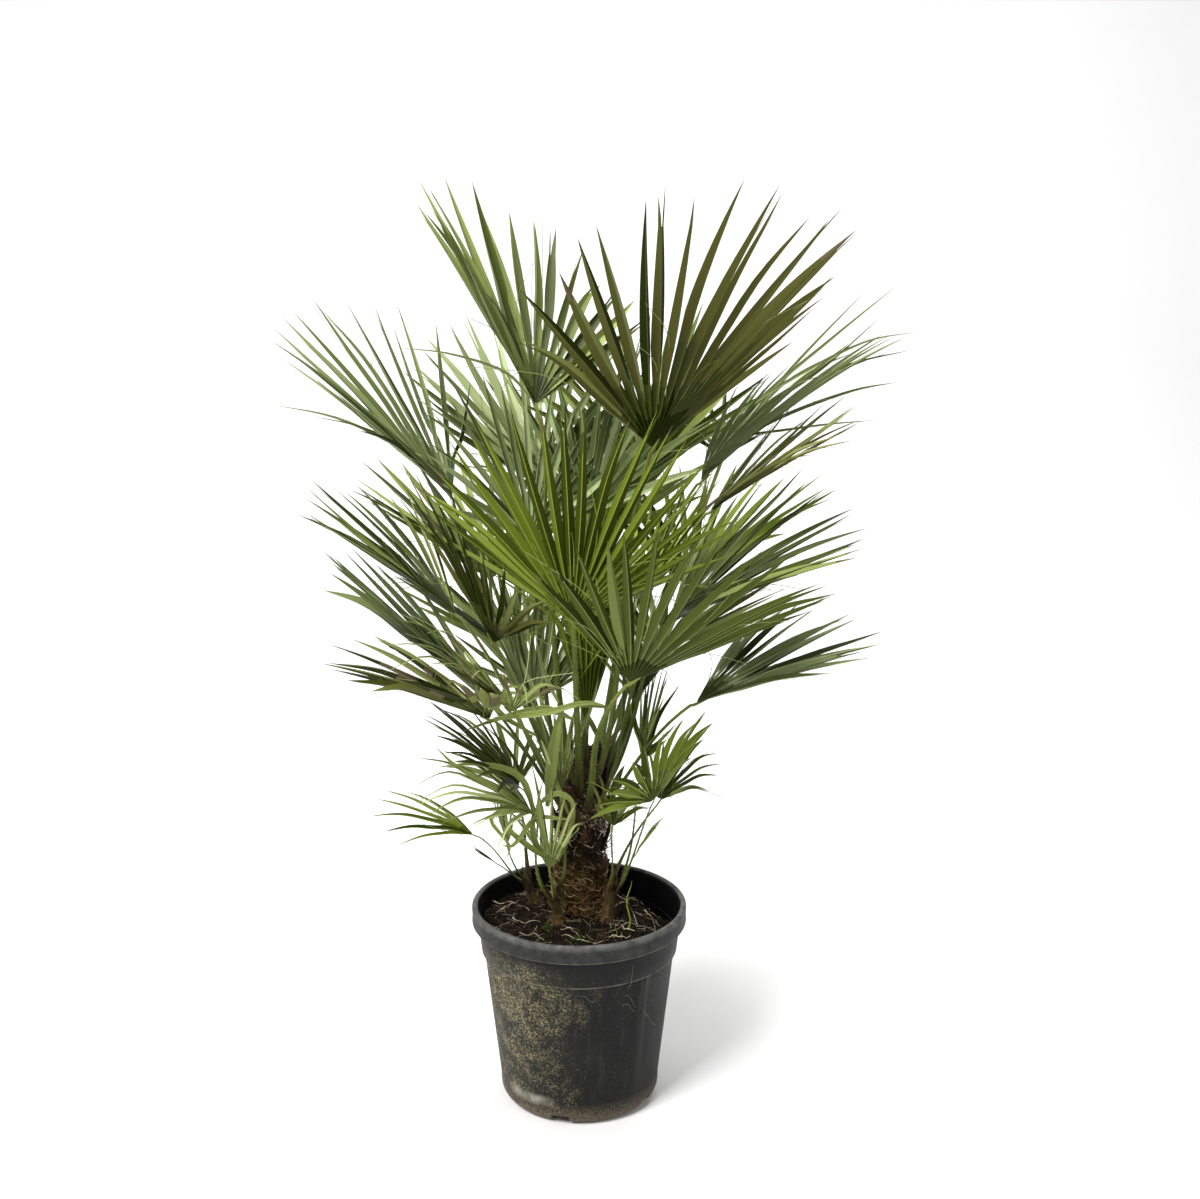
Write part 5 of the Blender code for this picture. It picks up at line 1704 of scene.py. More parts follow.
class Foliage:
    """Closed blades gathered into one mesh, with a finish for each face."""

    def __init__(self):
        self.verts, self.marks, self.faces, self.finishes = [], [], [], []

    def take(self, blade, edge):
        """Adds the upper and lower side of a blade and the wall round its edge."""
        above = len(self.verts)
        below = above + len(blade.points)
        normals = blade.normals()
        for way in (1.0, -1.0):
            for place, normal, half in zip(blade.points, normals, blade.halves):
                self.verts.append(place + normal * (way * half))
            self.marks += blade.marks
        used = set()
        for face, top, under in zip(blade.faces, blade.tops, blade.unders):
            self.faces += [tuple(above + k for k in face), tuple(below + k for k in reversed(face))]
            self.finishes += [top, under]
            used |= {(face[k - 1], face[k]) for k in range(len(face))}
        for start, end in sorted(used):
            if (end, start) not in used:
                self.faces.append((above + start, below + start, below + end, above + end))
                self.finishes.append(edge)

    def mesh(self):
        mesh = bpy.data.meshes.new("foliage")
        mesh.from_pydata(self.verts, [], self.faces)
        mesh.polygons.foreach_set("material_index", self.finishes)
        mesh.shade_smooth()
        mesh.set_sharp_from_angle(angle=math.radians(LEAF_SHARP_ANGLE))
        layer = mesh.uv_layers.new(name="veins")
        corners = [value for loop in mesh.loops for value in self.marks[loop.vertex_index]]
        layer.data.foreach_set("uv", corners)
        return mesh


def pleat(column, depth):
    """Height of a column in a fold whose edges stand up and whose rib lies low."""
    return depth * (2.0 * abs(column) - 1.0)


def fan_columns(plan):
    """Angle, palm radius, pleat place and leaflet mark of each column of the palm."""
    rng = random.Random(len(plan.ribs) * 7 + int(1000 * plan.frond.reach))
    edges, reaches = plan.notches, []
    cut = CLOSED.get(plan.frond.name, CUTS.get(plan.frond.name, 1.0))
    for angle in edges:
        radius = palm_reach(plan.frond, angle) * cut
        fused = rng.random() < FUSED_CHANCE and angle not in (edges[0], edges[-1])
        fused = FUSED_GAIN if fused else 1.0
        reaches.append(radius * fused * (1.0 + NOTCH_SCATTER * rng.uniform(-1.0, 1.0)))
    columns = [(edges[0], reaches[0], -1.0, 0.0)]
    for index, rib in enumerate(plan.ribs):
        for column in COLUMNS[1:]:
            edge = edges[index + 1] if column > 0.0 else edges[index]
            share = abs(column)
            angle = rib + (edge - rib) * share
            mix = 0.5 * (column + 1.0)
            reach = reaches[index] + (reaches[index + 1] - reaches[index]) * mix
            columns.append((angle, reach, column, index + mix))
    return columns


def palm_grid(blade, plan, columns, looks):
    """Rows of the pleated palm from the hub out, and their faces."""
    rows = []
    for row in range(PALM_ROWS + 1):
        share = (row / PALM_ROWS) ** 0.85
        line = []
        for angle, reach, column, mark in columns:
            radius = PALM_START + (reach - PALM_START) * share
            out, _, up = blade_frame(plan, angle, 0.0)
            depth = 0.25 * radius * plan.step * plan.fold[0] * smoothstep(radius, 0.0, 0.03)
            place = Vector(plan.frond.hub) + out * radius + up * pleat(column, depth)
            line.append(blade.point(place, looks.thickness, (mark * VEINS, radius * 10.0)))
        rows.append(line)
    for row, (near, far) in enumerate(zip(rows, rows[1:])):
        for k in range(len(near) - 1):
            # Rows near the hub take darker tones on both sides and no pale rib: painted shade round
            # the hub
            rib, near_hub_shade = k % STRIPS == RIB_STRIP, row < PALM_SHADED_ROWS
            top = RIB if rib and not near_hub_shade else plan.tones[k // STRIPS][0 if near_hub_shade else 1]
            under = (LOW if rib else UNDER) if near_hub_shade else (RIB if rib else LOW)
            blade.between(near, far, k, top, under)
    return rows[-1]


def blade_frame(plan, angle, lift):
    """Ways out along a leaflet, across it and up from it."""
    axis, side, _ = plan.frame
    out = ray(plan.frond, plan.frame, angle, lift)
    across = (side * math.cos(angle) - axis * math.sin(angle)).normalized()
    return out, across, out.cross(across).normalized()


class Leaflet:
    """Shape of one leaflet: where its middle runs, how wide it is and how it ends."""

    def __init__(self, plan, index, start, rng):
        self.plan, self.index = plan, index
        self.lift, self.length = plan.leaflets[index]
        self.rib = plan.ribs[index]
        self.start = start
        frond = plan.frond
        self.notch_width = 0.5 * plan.step * start
        gap = plan.step * (start + 0.33 * (self.length - start))
        full = min(LEAFLET_WIDTH * (frond.reach + WIDTH_GROUND), 0.48 * gap)
        self.full_width = full * FULLNESS.get(frond.name, 1.0) * rng.uniform(*WIDTH_SCATTER)
        self.bow = rng.gauss(*BOW_SCATTER)
        self.sway = rng.uniform(-1.0, 1.0) * SWAY_SHARE
        self.twist = math.radians(rng.gauss(0.0, TWIST_SCATTER))
        self.curl = CURLS.get(frond.name, 0.0) * rng.uniform(*CURL_SCATTER)
        self.curl += rng.uniform(*STRAY_CURLS) if rng.random() < STRAY_CHANCE else 0.0
        self.split = rng.uniform(*SPLIT_SPAN) if rng.random() < SPLIT_CHANCE else 1.0
        self.spread = math.radians(rng.uniform(*SPLIT_ANGLES))
        self.short = rng.uniform(*SPLIT_SHORT)
        self.short_hand = rng.choice((-1, 1))
        self.brown = rng.uniform(*BROWN_SPAN)
        patched = frond.name in BROWNED and rng.random() < PATCH_CHANCE
        self.patch = (PATCH_FROM, rng.uniform(*PATCH_TO)) if patched else (1.0, 1.0)
        self.fold = plan.fold

    def frame(self, share):
        """Middle, across and up at a share of the way from the notches to the tip."""
        radius = self.start + (self.length - self.start) * share
        lift = self.lift * smoothstep(share, 0.0, 0.31)
        out, across, up = blade_frame(self.plan, self.rib, lift)
        place = Vector(self.plan.frond.hub) + out * radius
        place += up * (self.bow * self.length * share ** 2)
        place += across * (self.sway * self.length * share ** 2)
        far = radius / self.length
        fall = self.plan.frond.droop * self.length * far * far * smoothstep(share, 0.0, 0.3)
        place -= UP * (fall + self.curl * self.length * smoothstep(share, 0.45, 1.35) * 2.0)
        turn = self.twist * share
        turned_across = across * math.cos(turn) + up * math.sin(turn)
        return place, turned_across, up * math.cos(turn) - across * math.sin(turn)

    def half_width(self, share):
        """Half the width between the folded edges."""
        if share < SWELL:
            gain = self.full_width - self.notch_width
            return self.notch_width + gain * smoothstep(share, 0, SWELL)
        return self.full_width * (1.0 - ((share - SWELL) / (1.0 - SWELL)) ** TAPER_POWER)

    def depth(self, share, width):
        near, far = self.fold
        return 0.5 * width * (near + (far - near) * smoothstep(share, 0.0, 0.4))


def free_leaflet(blade, plan, leaf, first_row, looks):
    """Rows of a leaflet beyond the palm, up to its one tip or to its two tips."""
    last = first_row
    tones, unders = plan.tones[leaf.index], plan.unders[leaf.index]
    ends = [share for share in LEAFLET_SHARES if share < leaf.split - 0.03]
    for share in ends + ([leaf.split] if leaf.split < 1.0 else []):
        place, across, up = leaf.frame(share)
        width = leaf.half_width(share)
        half = looks.thickness * (1.0 - 0.6 * share)
        row = []
        for column in COLUMNS:
            if abs(column) < 0.2:
                column = math.copysign(min(0.2, 0.5 * looks.rib_width / max(width, 1e-4)), column)
            spot = place + across * (column * width) + up * pleat(column, leaf.depth(share, width))
            mark = ((leaf.index + 0.5 + 0.5 * column) * VEINS, 10.0 * share)
            row.append(blade.point(spot, half, mark))
        join_rows(blade, last, row, tones, unders, share, leaf)
        last = row
    if leaf.split >= 1.0:
        place, _, up = leaf.frame(1.0)
        tip = blade.point(place, 0.3 * looks.thickness, ((leaf.index + 0.5) * VEINS, 10.0))
        looks_of_tip = (TIP, TIP) if leaf.brown < 1.0 else (tones[1], unders[0])
        for k in range(STRIPS):
            blade.between(last, [tip], k, *looks_of_tip)
        return
    for hand, columns in ((-1, last[:RIB_STRIP + 1]), (1, last[RIB_STRIP + 1:])):
        split_half(blade, leaf, hand, columns, tones, unders, looks)


def join_rows(blade, near, far, tones, unders, share, leaf):
    """Faces between two rows of a leaflet, brown in a patch and towards a dry tip."""
    brown = share > leaf.brown or leaf.patch[0] < share < leaf.patch[1]
    for k in range(len(near) - 1):
        rib = k == RIB_STRIP
        # The half past the rib takes the second tone, mostly lighter: painted light on the fold
        top = RIB if rib else tones[1 + (k > RIB_STRIP)]
        under = RIB if rib else LOW if share < 0.1 else unders[k > RIB_STRIP]
        if brown:
            top = under = TIP
        blade.between(near, far, k, top, under)


def split_half(blade, leaf, hand, columns, tones, unders, looks):
    """One of the two narrow ends of a split leaflet."""
    end = 1.0 if hand != leaf.short_hand else leaf.split + (1.0 - leaf.split) * leaf.short
    wide = leaf.half_width(leaf.split)
    span = leaf.length - leaf.start
    last = columns
    for share in SPLIT_SHARES:
        along = leaf.split + (end - leaf.split) * share
        place, across, up = leaf.frame(along)
        middle = hand * (0.5 * wide + math.tan(leaf.spread) * span * (along - leaf.split))
        width = 0.5 * wide * (1.0 - share ** 1.3)
        half = looks.thickness * (1.0 - 0.6 * along)
        brown = along > leaf.brown + 0.04
        # The split end past the rib takes the second tone, mostly lighter: painted light on the fold
        top = TIP if brown else tones[1 + (hand > 0)]
        under = TIP if brown else unders[hand > 0]
        depth = leaf.depth(leaf.split, wide)
        if share == 1.0:
            spot = place + across * middle
            tip = blade.point(spot, 0.3 * looks.thickness, (leaf.index * VEINS, 10.0))
            for k in range(2):
                blade.between(last, [tip], k, top, under)
            return
        row = []
        for k, lean in enumerate((-1.0, 0.0, 1.0)):
            rise = hand * lean * depth * (1.0 - share)
            spot = place + across * (middle + lean * width) + up * rise
            mark = ((leaf.index + 0.5 + 0.25 * (hand + lean)) * VEINS, 10.0)
            row.append(blade.point(spot, half, mark))
        for k in range(2):
            blade.between(last, row, k, top, under)
        last = row


def leaf_tones(plan, rng):
    """Finishes of each leaflet's upper side: one tone darker in the palm as painted shade near the
    hub, then its two halves, the second one mostly lighter as painted light on the fold.
    """
    tones, painted_light_shift = [], PAINTED_LIGHT_SHIFTS.get(plan.frond.name, 0)
    for _ in plan.ribs:
        main = rng.choices((DEEP, LOW, MIDDLE, LIGHT), TONE_SHARES)[0]
        main = max(DEEP, min(LIGHT, main + painted_light_shift))
        # The second half is mostly lighter: painted light on the fold
        other = min(LIGHT, main + rng.choice((0, 1, 1, 2)))
        tones.append((max(DEEP, main - 1), main, other))
    return tones


def under_tones(plan, rng):
    """Finishes of both halves of each leaflet's lower side, lighter on the side leaflets as painted
    light.
    """
    tones, painted_light_shift = [], PAINTED_LIGHT_SHIFTS.get(plan.frond.name, 0)
    for rib in plan.ribs:
        side = abs(rib) > 0.55 * plan.half_spread
        first = rng.choice((1, 1, 2) if side else (0, 1, 1, 1)) + painted_light_shift
        second = first + rng.choice((-1, 0, 1) if side else (-1, 0, 0))
        tones.append([UNDERS[max(0, min(2, level))] for level in (first, second)])
    return tones


def curve_through(points, steps):
    """Points and ways along a smooth curve through control points."""
    count = len(points) - 1
    ends = [2.0 * points[0] - points[1], *points, 2.0 * points[-1] - points[-2]]
    places = []
    for step in range(steps + 1):
        at = count * step / steps
        first = min(count - 1, int(at))
        t = at - first
        a, b, c, d = ends[first:first + 4]
        places.append(0.5 * (2.0 * b + (c - a) * t + (2.0 * a - 5.0 * b + 4.0 * c - d) * t * t
                             + (3.0 * b - a - 3.0 * c + d) * t ** 3))
    ways = [(places[min(k + 1, steps)] - places[max(k - 1, 0)]).normalized()
            for k in range(steps + 1)]
    return places, ways


def notch_thread(blade, plan, angle, reach, looks, rng):
    """A thin dry thread that strays from a notch of the palm."""
    out, across, up = blade_frame(plan, angle, 0.0)
    length = plan.frond.reach * rng.uniform(0.2, 0.6)
    stray = across * rng.uniform(-0.5, 0.5) + up * rng.uniform(-0.3, 0.4)
    start = Vector(plan.frond.hub) + out * reach
    middle = start + (out + 0.5 * stray) * (0.5 * length)
    controls = [start, middle, start + (out + stray - UP * 0.15) * length]
    places, ways = curve_through(controls, THREAD_STEPS)
    last = None
    for step, (place, way) in enumerate(zip(places, ways)):
        half = way.cross(up).normalized() * THREAD_WIDTH * (1.0 - 0.4 * step / THREAD_STEPS)
        row = [blade.point(place + half * hand, 0.5 * looks.thickness, (0.0, 0.0))
               for hand in (-1, 1)]
        if last:
            blade.between(last, row, 0, LIGHT, SIDE)
        last = row


def ribbon(blade, controls, width, looks, rng):
    """A loose leaflet that arches and curls through its control points."""
    places, ways = curve_through(controls, CURL_STEPS)
    tilt = rng.uniform(-0.5, 0.5)
    tone = rng.choice((LOW, LOW, MIDDLE))
    last = None
    for step, (place, way) in enumerate(zip(places, ways)):
        share = step / CURL_STEPS
        across = way.cross(Vector((tilt, -1.0, 0.5 + tilt))).normalized()
        up = across.cross(way)
        wide = width * min(1.0, 0.35 + share * 3.0) * (1.0 - max(0.0, (share - 0.35) / 0.65) ** 1.6)
        row = []
        for column in COLUMNS:
            spot = place + across * (column * wide) + up * pleat(column, 0.30 * wide)
            half = looks.thickness * (1.0 - 0.5 * share)
            row.append(blade.point(spot, half, (column * VEINS, share)))
            if share == 1.0:
                break
        if share == 1.0:
            for k in range(len(last) - 1):
                blade.between(last, row, k, TIP, TIP)
        elif last:
            for k in range(len(row) - 1):
                # The half past the rib is one tone lighter: painted light on the fold
                blade.between(last, row, k, tone + (k > RIB_STRIP), UNDER_FAR)
        last = row


def fan_blade(plan, number, looks):
    """One fan as a blade: its palm, its leaflets and the threads from its notches."""
    rng = random.Random(FAN_SEED + number)
    plan.fold = FOLDS.get(plan.frond.name, (looks.pleat, looks.fold))
    plan.tones, plan.unders = leaf_tones(plan, rng), under_tones(plan, rng)
    blade = Blade()
    columns = fan_columns(plan)
    edge_row = palm_grid(blade, plan, columns, looks)
    for index, found in enumerate(plan.leaflets):
        if found is None:
            continue
        first = index * STRIPS
        start = max(columns[first][1], columns[first + STRIPS][1])
        leaf = Leaflet(plan, index, start, rng)
        free_leaflet(blade, plan, leaf, edge_row[first:first + len(COLUMNS)], looks)
    strays = random.Random(THREAD_SEED + number)
    for angle, reach, column, _ in columns:
        if abs(column) == 1.0 and strays.random() < THREAD_CHANCE:
            notch_thread(blade, plan, angle, reach, looks, strays)
    return blade


def make_fans(context):
    looks = context.scene.palm_leaves
    plans = plan_fronds()
    for tint in TINTS:
        foliage = Foliage()
        nodes = []
        for number, plan in enumerate(plans):
            if plan.frond.tint == tint:
                foliage.take(fan_blade(plan, number, looks), EDGE)
                nodes.append("frond_" + plan.frond.name)
        rng = random.Random(RIBBON_SEED)
        for width, *places in RIBBONS[tint]:
            blade = Blade()
            ribbon(blade, [MM * Vector(place) for place in places], MM * width, looks, rng)
            foliage.take(blade, EDGE)
        add_piece("fans_" + tint, foliage.mesh(), leaf_finishes(tint), nodes)


def leaf_finishes(tint):
    """One plain finish for each tone of a tint, with fine veins along the leaflets."""
    tops, unders = LEAF_PAINTS[tint]
    colours = [*tops, *unders, LEAF_RIB[tint], LEAF_EDGE[tint], LEAF_TIP, LEAF_SIDE[tint]]
    names = ("deep", "low", "middle", "light", "under", "under_far", "rib", "edge", "tip", "side")
    made = []
    for name, colour in zip(names, colours):
        dull = name.startswith("under") or name == "tip"
        looks = (0.65, 0.05) if dull else (0.42, 0.12)
        finish = Finish(f"leaf_{tint}_{name}", paint(*colour), *looks)
        where = finish.add("ShaderNodeUVMap", uv_map="veins").outputs["UV"]
        across = finish.parts(where)["X"]
        vein = finish.math("SINE", finish.math("MULTIPLY", across, math.tau))
        finish.bump(vein, 0.00015, 0.35)
        made.append(finish)
    return made


def stem_spot(plan, drop):
    """Point of the stem's surface a little below a stalk's seat, and the way out there."""
    height = plan.path[0].z - drop - SOIL_TOP
    if plan.stem_name == "trunk":
        centre, radius = trunk_centre(height), trunk_radius(height)
    else:
        sucker = next(item for item in SUCKERS if item.name == plan.stem_name)
        foot, top = Vector((*sucker.foot, SOIL_TOP)), Vector(sucker.top)
        share = height / (top.z - foot.z)
        centre = foot.lerp(top, share)
        radius = sucker.foot_radius + share * (sucker.top_radius - sucker.foot_radius)
    out = plan.path[0] - centre
    out.z = 0.0
    return centre + out.normalized() * radius, out.normalized()


def stalk_ring(middle, across, width, through, depth):
    """The stalk's section at a place, with its ways and its sizes."""
    return [middle + across * (a * width) + through * (b * depth) for a, b in STALK_SECTION]


def stalk_rings(plan):
    """Rings of a stalk from its sheath on the stem to a point under the palm."""
    rings = []
    slim = plan.size ** 0.5
    for drop, sink, wide, deep in SHEATH_RINGS:
        middle, out = stem_spot(plan, drop * slim)
        across = UP.cross(out)
        width, depth = plan.size * STALK_WIDTH_FOOT * wide, plan.size * STALK_DEPTH_FOOT * deep
        middle += out * (sink * slim)
        rings.append(stalk_ring(middle, across, width, -out, depth))
    length = (plan.path[3] - plan.path[0]).length
    for row in range(STALK_ROWS + 1):
        share = row / STALK_ROWS
        middle, _, across, through, width, depth = stalk_section(plan, plan.path, share)
        sheath = math.exp(-share * length / SHEATH_LENGTH)
        wide, deep = width * (1.0 + SHEATH_GAIN * sheath), depth * (1.0 + 0.2 * sheath)
        rings.append(stalk_ring(middle, across, wide, through, deep))
    axis, side, normal = plan.frame
    width, depth = plan.size * STALK_WIDTH_HUB, plan.size * STALK_DEPTH_HUB
    for ahead, wide, deep in STALK_HEAD:
        middle = Vector(plan.frond.hub) + axis * ahead * plan.size - normal * (0.3 * depth)
        rings.append([middle + side * (a * width * wide) + normal * (b * depth * deep)
                      for a, b in STALK_SECTION])
    return rings


def make_stalks(context):
    sizes = context.scene.palm_stalks
    bm = bmesh.new()
    layer = bm.loops.layers.uv.new("along")
    margins = bmesh.new()
    outward = margins.verts.layers.float_vector.new("outward")
    plans = plan_fronds()
    for plan in plans:
        start = len(bm.faces)
        rings = stalk_rings(plan)
        lofted(bm, rings)
        bm.faces.ensure_lookup_table()
        for number in range(start, len(bm.faces)):
            for loop in bm.faces[number].loops:
                loop[layer].uv = along_stalk(plan, loop.vert.co)
        if plan.frond.name in UNARMED:
            continue
        for corner, hand in STALK_MARGINS:
            last = None
            for row in range(SPINES_FROM, STALK_ROWS - 1):
                _, _, across, _, _, _ = stalk_section(plan, plan.path, row / STALK_ROWS)
                vert = margins.verts.new(rings[row + len(SHEATH_RINGS)][corner])
                vert[outward] = across * hand
                if last:
                    margins.edges.new((last, vert))
                last = vert
    skin = stalk_finish()
    line = bpy.data.meshes.new("margins")
    margins.to_mesh(line)
    margins.free()
    thorn = mottled("spine", (150, 136, 74), (92, 84, 40), 90.0, 0.45, 0.6, 0.5)
    nodes = ["frond_" + plan.frond.name for plan in plans]
    add_piece("stalks", mesh_of(bm, 40.0), [skin], nodes)
    spines = spine_mesh(line, thorn, sizes.spine_spacing, sizes.spine_length)
    add_piece("spines", spines, [])


def along_stalk(plan, place):
    """Share of the way up a stalk, and its distance from the stem in tenths of a metre,
    more on a slim stalk."""
    span = plan.path[3] - plan.path[0]
    share = (place - plan.path[0]).dot(span) / span.length_squared
    return min(1.2, max(-0.1, share)), 10.0 * (place - plan.path[0]).length / plan.size


def stalk_finish():
    """Smooth green stalk, brown at its foot and yellower under the fan."""
    finish = Finish("stalk_skin", paint(88, 100, 42), 0.45)
    where = finish.add("ShaderNodeUVMap", uv_map="along").outputs["UV"]
    share = finish.parts(where)
    streak = finish.cloud(finish.place((160.0, 160.0, 26.0)), 1.0, 4.0)
    finish.paint_over(finish.span(streak, 0.42, 0.7, 0.0, 0.6), paint(58, 70, 30))
    finish.paint_over(finish.span(share["X"], 0.80, 1.0, 0.0, 0.5), paint(128, 134, 66))
    foot = finish.math("ADD", share["Y"], finish.span(streak, 0.3, 0.7, -0.35, 0.35))
    finish.paint_over(finish.span(foot, 1.0, 0.2, 0.0, 0.95), paint(58, 43, 28))
    finish.bump(streak, 0.0006, 0.5)
    return finish


def spine_mesh(margins, finish, spacing, length):
    """Spines along both margins of the stalks, leaning towards the fans."""
    tree = Grower("spines")
    tree.number("Spacing", spacing)
    tree.number("Length", length)
    tree.number("Lean", 0.55)
    tree.number("Seed", 6)
    entry = tree.entry.outputs
    lines = tree.add("GeometryNodeMeshToCurve", {"Mesh": entry["Geometry"]}).outputs["Curve"]
    even = tree.add("GeometryNodeResampleCurve", mode="LENGTH")
    tree.feed(even.inputs["Curve"], lines)
    tree.feed(even.inputs["Length"], entry["Spacing"])
    out = tree.add("GeometryNodeInputNamedAttribute", {"Name": "outward"},
                   data_type="FLOAT_VECTOR").outputs["Attribute"]
    ahead = tree.add("GeometryNodeInputTangent").outputs["Tangent"]
    way = tree.vector_math("ADD", out, tree.vector_math("SCALE", ahead, scale=entry["Lean"]))
    askew = random_vector(tree, (-0.25, -0.25, -0.25), (0.25, 0.25, 0.25), entry["Seed"])
    way = tree.vector_math("ADD", way, askew)
    turn = tree.add("FunctionNodeAlignRotationToVector", {"Vector": way}, axis="Z").outputs[0]
    cone = tree.add("GeometryNodeMeshCone", {
        "Vertices": 5, "Side Segments": 1, "Radius Top": 0.0, "Radius Bottom": 0.13, "Depth": 1.0})
    size = tree.math("MULTIPLY", random_number(tree, 0.45, 1.0, entry["Seed"]), entry["Length"])
    placed = tree.add("GeometryNodeInstanceOnPoints", {
        "Points": even.outputs["Curve"], "Instance": cone.outputs["Mesh"],
        "Rotation": turn, "Scale": size})
    tree.close(placed.outputs["Instances"], finish)
    return tree.grow(margins, Spacing=spacing, Length=length, Lean=0.55, Seed=6)


def make_stage(context):
    """Pale floor that turns up into a backdrop, soft lights and the camera."""
    settings = context.scene.palm_stage
    bm = bmesh.new()
    outline = [(FLOOR_FRONT, 0.0), (FLOOR_BACK, 0.0)]
    outline += arc((FLOOR_BACK, BACKDROP_BEND), BACKDROP_BEND, -90, 0, BACKDROP_STEPS)[1:]
    outline.append((FLOOR_BACK + BACKDROP_BEND, BACKDROP_TOP))
    rows = [[bm.verts.new((x, y, z)) for y, z in outline]
            for x in (-FLOOR_HALF_WIDTH, FLOOR_HALF_WIDTH)]
    for k in range(len(outline) - 1):
        bm.faces.new((rows[0][k], rows[1][k], rows[1][k + 1], rows[0][k + 1]))
    mesh = bpy.data.meshes.new("floor")
    bm.to_mesh(mesh)
    bm.free()
    mesh.shade_smooth()
    ground = Finish("pale_floor", (*settings.floor_colour, 1.0), 0.9)
    mesh.materials.append(ground.material)
    floor = place_object("floor", mesh)
    for name, place, power, size in LIGHTS:
        light = bpy.data.lights.new(name, "AREA")
        light.energy = power * settings.brightness
        light.size = size
        lamp = place_object(name, light)
        lamp.location = place
        towards = Vector(LAMP_TARGET) - lamp.location
        lamp.rotation_euler = towards.to_track_quat("-Z", "Y").to_euler()
    world = bpy.data.worlds.new("pale_room")
    world.use_nodes = True
    sky = world.node_tree.nodes["Background"]
    sky.inputs["Color"].default_value = (1.0, 1.0, 1.0, 1.0)
    sky.inputs["Strength"].default_value = settings.room_light
    context.scene.world = world
    context.scene.view_settings.view_transform = "Standard"
    lens = bpy.data.cameras.new("front_view")
    lens.lens = CAMERA_LENS
    lens.sensor_width = CAMERA_SENSOR
    camera = place_object("front_view", lens)
    camera.location = CAMERA_PLACE
    camera.rotation_euler = (math.radians(90.0 - CAMERA_PITCH), 0.0, 0.0)
    context.scene.camera = camera


class PotSettings(bpy.types.PropertyGroup):
    colour: FloatVectorProperty(
        name="Plastic", description="Colour of the pot's clean plastic", subtype="COLOR",
        default=paint(16, 17, 17)[:3], min=0.0, max=1.0)
    panels: IntProperty(
        name="Panels", description="Flat panels round the pot's side", default=5, min=0, max=12)
    panel_depth: FloatProperty(
        name="Panel depth", description="How far the panels are sunk", subtype="DISTANCE",
        unit="LENGTH", default=0.0015, min=0.0, max=0.003)


class CompostSettings(bpy.types.PropertyGroup):
    relief: FloatProperty(
        name="Relief", description="Height of the compost's humps", subtype="DISTANCE",
        unit="LENGTH", default=0.004, min=0.0, max=0.008)
    crumbs: FloatProperty(
        name="Crumbs", description="Crumbs on a square metre", default=17000.0, min=0.0)
    roots: FloatProperty(
        name="Dry roots", description="Dry roots on a square metre", default=3000.0, min=0.0)


class TrunkSettings(bpy.types.PropertyGroup):
    relief: FloatProperty(
        name="Relief", description="Depth of the matted fibres", subtype="DISTANCE",
        unit="LENGTH", default=0.010, min=0.0, max=0.015)
    fibres: FloatProperty(
        name="Fibres", description="Loose fibres on a square metre", default=5500.0, min=0.0)


class LeafSettings(bpy.types.PropertyGroup):
    pleat: FloatProperty(
        name="Pleat", description="Slope of the pleats in the palm of a fan", default=1.15,
        min=0.0, max=1.5)
    fold: FloatProperty(
        name="Fold", description="Slope of a leaflet's two halves", default=0.78, min=0.0, max=1.5)
    thickness: FloatProperty(
        name="Half thickness", description="Half the thickness of a leaflet at its foot",
        subtype="DISTANCE", unit="LENGTH", default=0.00035, min=0.0002, max=0.001)
    rib_width: FloatProperty(
        name="Rib width", description="Width of the pale line down a leaflet", subtype="DISTANCE",
        unit="LENGTH", default=0.001, min=0.0004, max=0.003)


class StalkSettings(bpy.types.PropertyGroup):
    spine_spacing: FloatProperty(
        name="Spine spacing", description="Way between the spines", subtype="DISTANCE",
        unit="LENGTH", default=0.011, min=0.004, max=0.04)
    spine_length: FloatProperty(
        name="Spine length", description="Length of the longest spines", subtype="DISTANCE",
        unit="LENGTH", default=0.006, min=0.0, max=0.015)


class StageSettings(bpy.types.PropertyGroup):
    floor_colour: FloatVectorProperty(
        name="Floor", description="Colour of the floor and backdrop", subtype="COLOR",
        default=(0.90, 0.90, 0.90), min=0.0, max=1.0)
    brightness: FloatProperty(
        name="Brightness", description="Strength of the lamps", default=1.0, min=0.0, max=5.0)
    room_light: FloatProperty(
        name="Room light", description="Strength of the light all round", default=0.29,
        min=0.0, max=3.0)


class MakePot(bpy.types.Operator):
    """Turns the pot, sinks its panels and cuts its notches"""
    bl_idname = "fan_palm.make_pot"
    bl_label = "Pot"

    def execute(self, context):
        make_pot(context)
        return {"FINISHED"}


class MakeCompost(bpy.types.Operator):
    """Fills the pot with compost, crumbs, dry roots, moss and grass"""
    bl_idname = "fan_palm.make_compost"
    bl_label = "Compost"

    def execute(self, context):
        make_compost(context)
        return {"FINISHED"}


class MakeTrunk(bpy.types.Operator):
    """Wraps the trunk in matted fibre with old leaf bases and loose fibres"""
    bl_idname = "fan_palm.make_trunk"
    bl_label = "Trunk"

    def execute(self, context):
        make_trunk(context)
        return {"FINISHED"}


class MakeSuckers(bpy.types.Operator):
    """Sheathes the three suckers beside the trunk"""
    bl_idname = "fan_palm.make_suckers"
    bl_label = "Suckers"

    def execute(self, context):
        make_suckers(context)
        return {"FINISHED"}


class MakeFans(bpy.types.Operator):
    """Pleats the fans and folds and splits their leaflets"""
    bl_idname = "fan_palm.make_fans"
    bl_label = "Fans"

    def execute(self, context):
        make_fans(context)
        return {"FINISHED"}


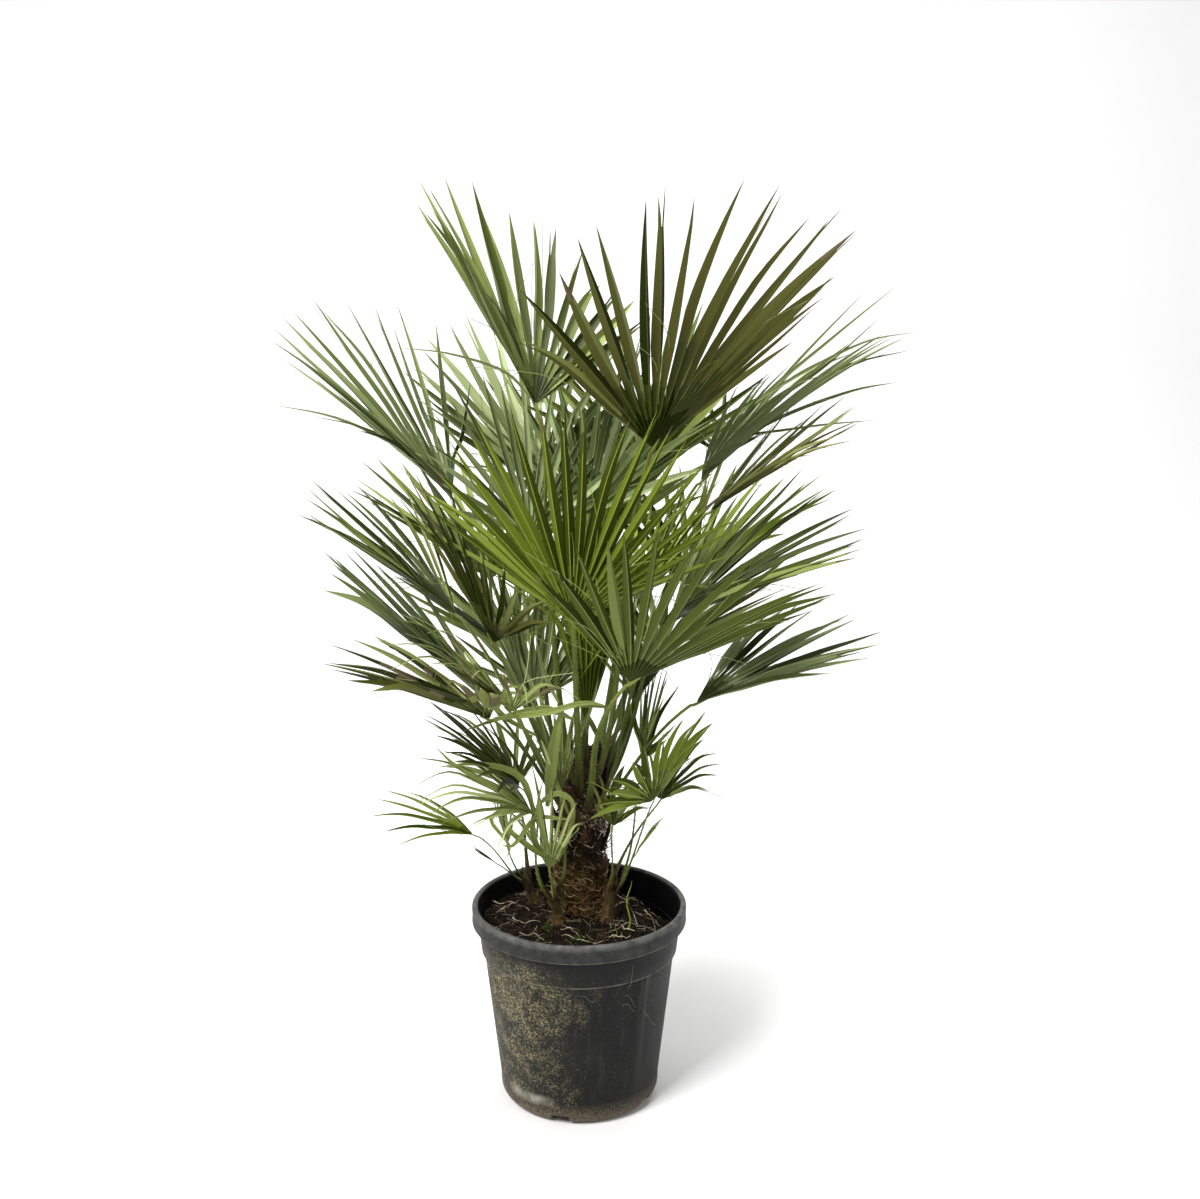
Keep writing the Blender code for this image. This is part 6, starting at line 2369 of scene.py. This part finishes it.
class MakeStalks(bpy.types.Operator):
    """Draws the stalks to the fans and sets spines along them"""
    bl_idname = "fan_palm.make_stalks"
    bl_label = "Stalks"

    def execute(self, context):
        make_stalks(context)
        return {"FINISHED"}


class MakeStage(bpy.types.Operator):
    """Sets the floor, the lights and the camera"""
    bl_idname = "fan_palm.make_stage"
    bl_label = "Stage"

    def execute(self, context):
        make_stage(context)
        return {"FINISHED"}


class FanPalmPanel(bpy.types.Panel):
    """Settings and buttons of the potted fan palm"""
    bl_idname = "VIEW3D_PT_fan_palm"
    bl_label = "Fan palm"
    bl_space_type = "VIEW_3D"
    bl_region_type = "UI"
    bl_category = "Fan palm"

    def draw(self, context):
        for settings, makers in PANEL_ROWS:
            box = self.layout.box()
            group = getattr(context.scene, settings)
            for key in group.bl_rna.properties.keys():
                if key not in ("rna_type", "name"):
                    box.prop(group, key)
            for maker in makers:
                box.operator(maker.bl_idname)


GROUPS = {
    "palm_pot": PotSettings, "palm_compost": CompostSettings, "palm_trunk": TrunkSettings,
    "palm_leaves": LeafSettings, "palm_stalks": StalkSettings, "palm_stage": StageSettings,
}
PANEL_ROWS = (
    ("palm_pot", (MakePot,)), ("palm_compost", (MakeCompost,)),
    ("palm_trunk", (MakeTrunk, MakeSuckers)), ("palm_leaves", (MakeFans,)),
    ("palm_stalks", (MakeStalks,)), ("palm_stage", (MakeStage,)),
)
MAKERS = tuple(maker for _, makers in PANEL_ROWS for maker in makers)


def register():
    for kind in (*GROUPS.values(), *MAKERS, FanPalmPanel):
        bpy.utils.register_class(kind)
    for name, kind in GROUPS.items():
        setattr(bpy.types.Scene, name, PointerProperty(type=kind))


def unregister():
    for name in GROUPS:
        delattr(bpy.types.Scene, name)
    for kind in (FanPalmPanel, *reversed(MAKERS), *reversed(list(GROUPS.values()))):
        bpy.utils.unregister_class(kind)


def main():
    register()
    for maker in MAKERS:
        group, call = maker.bl_idname.split(".")
        getattr(getattr(bpy.ops, group), call)()
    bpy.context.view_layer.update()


if __name__ == "__main__":
    main()
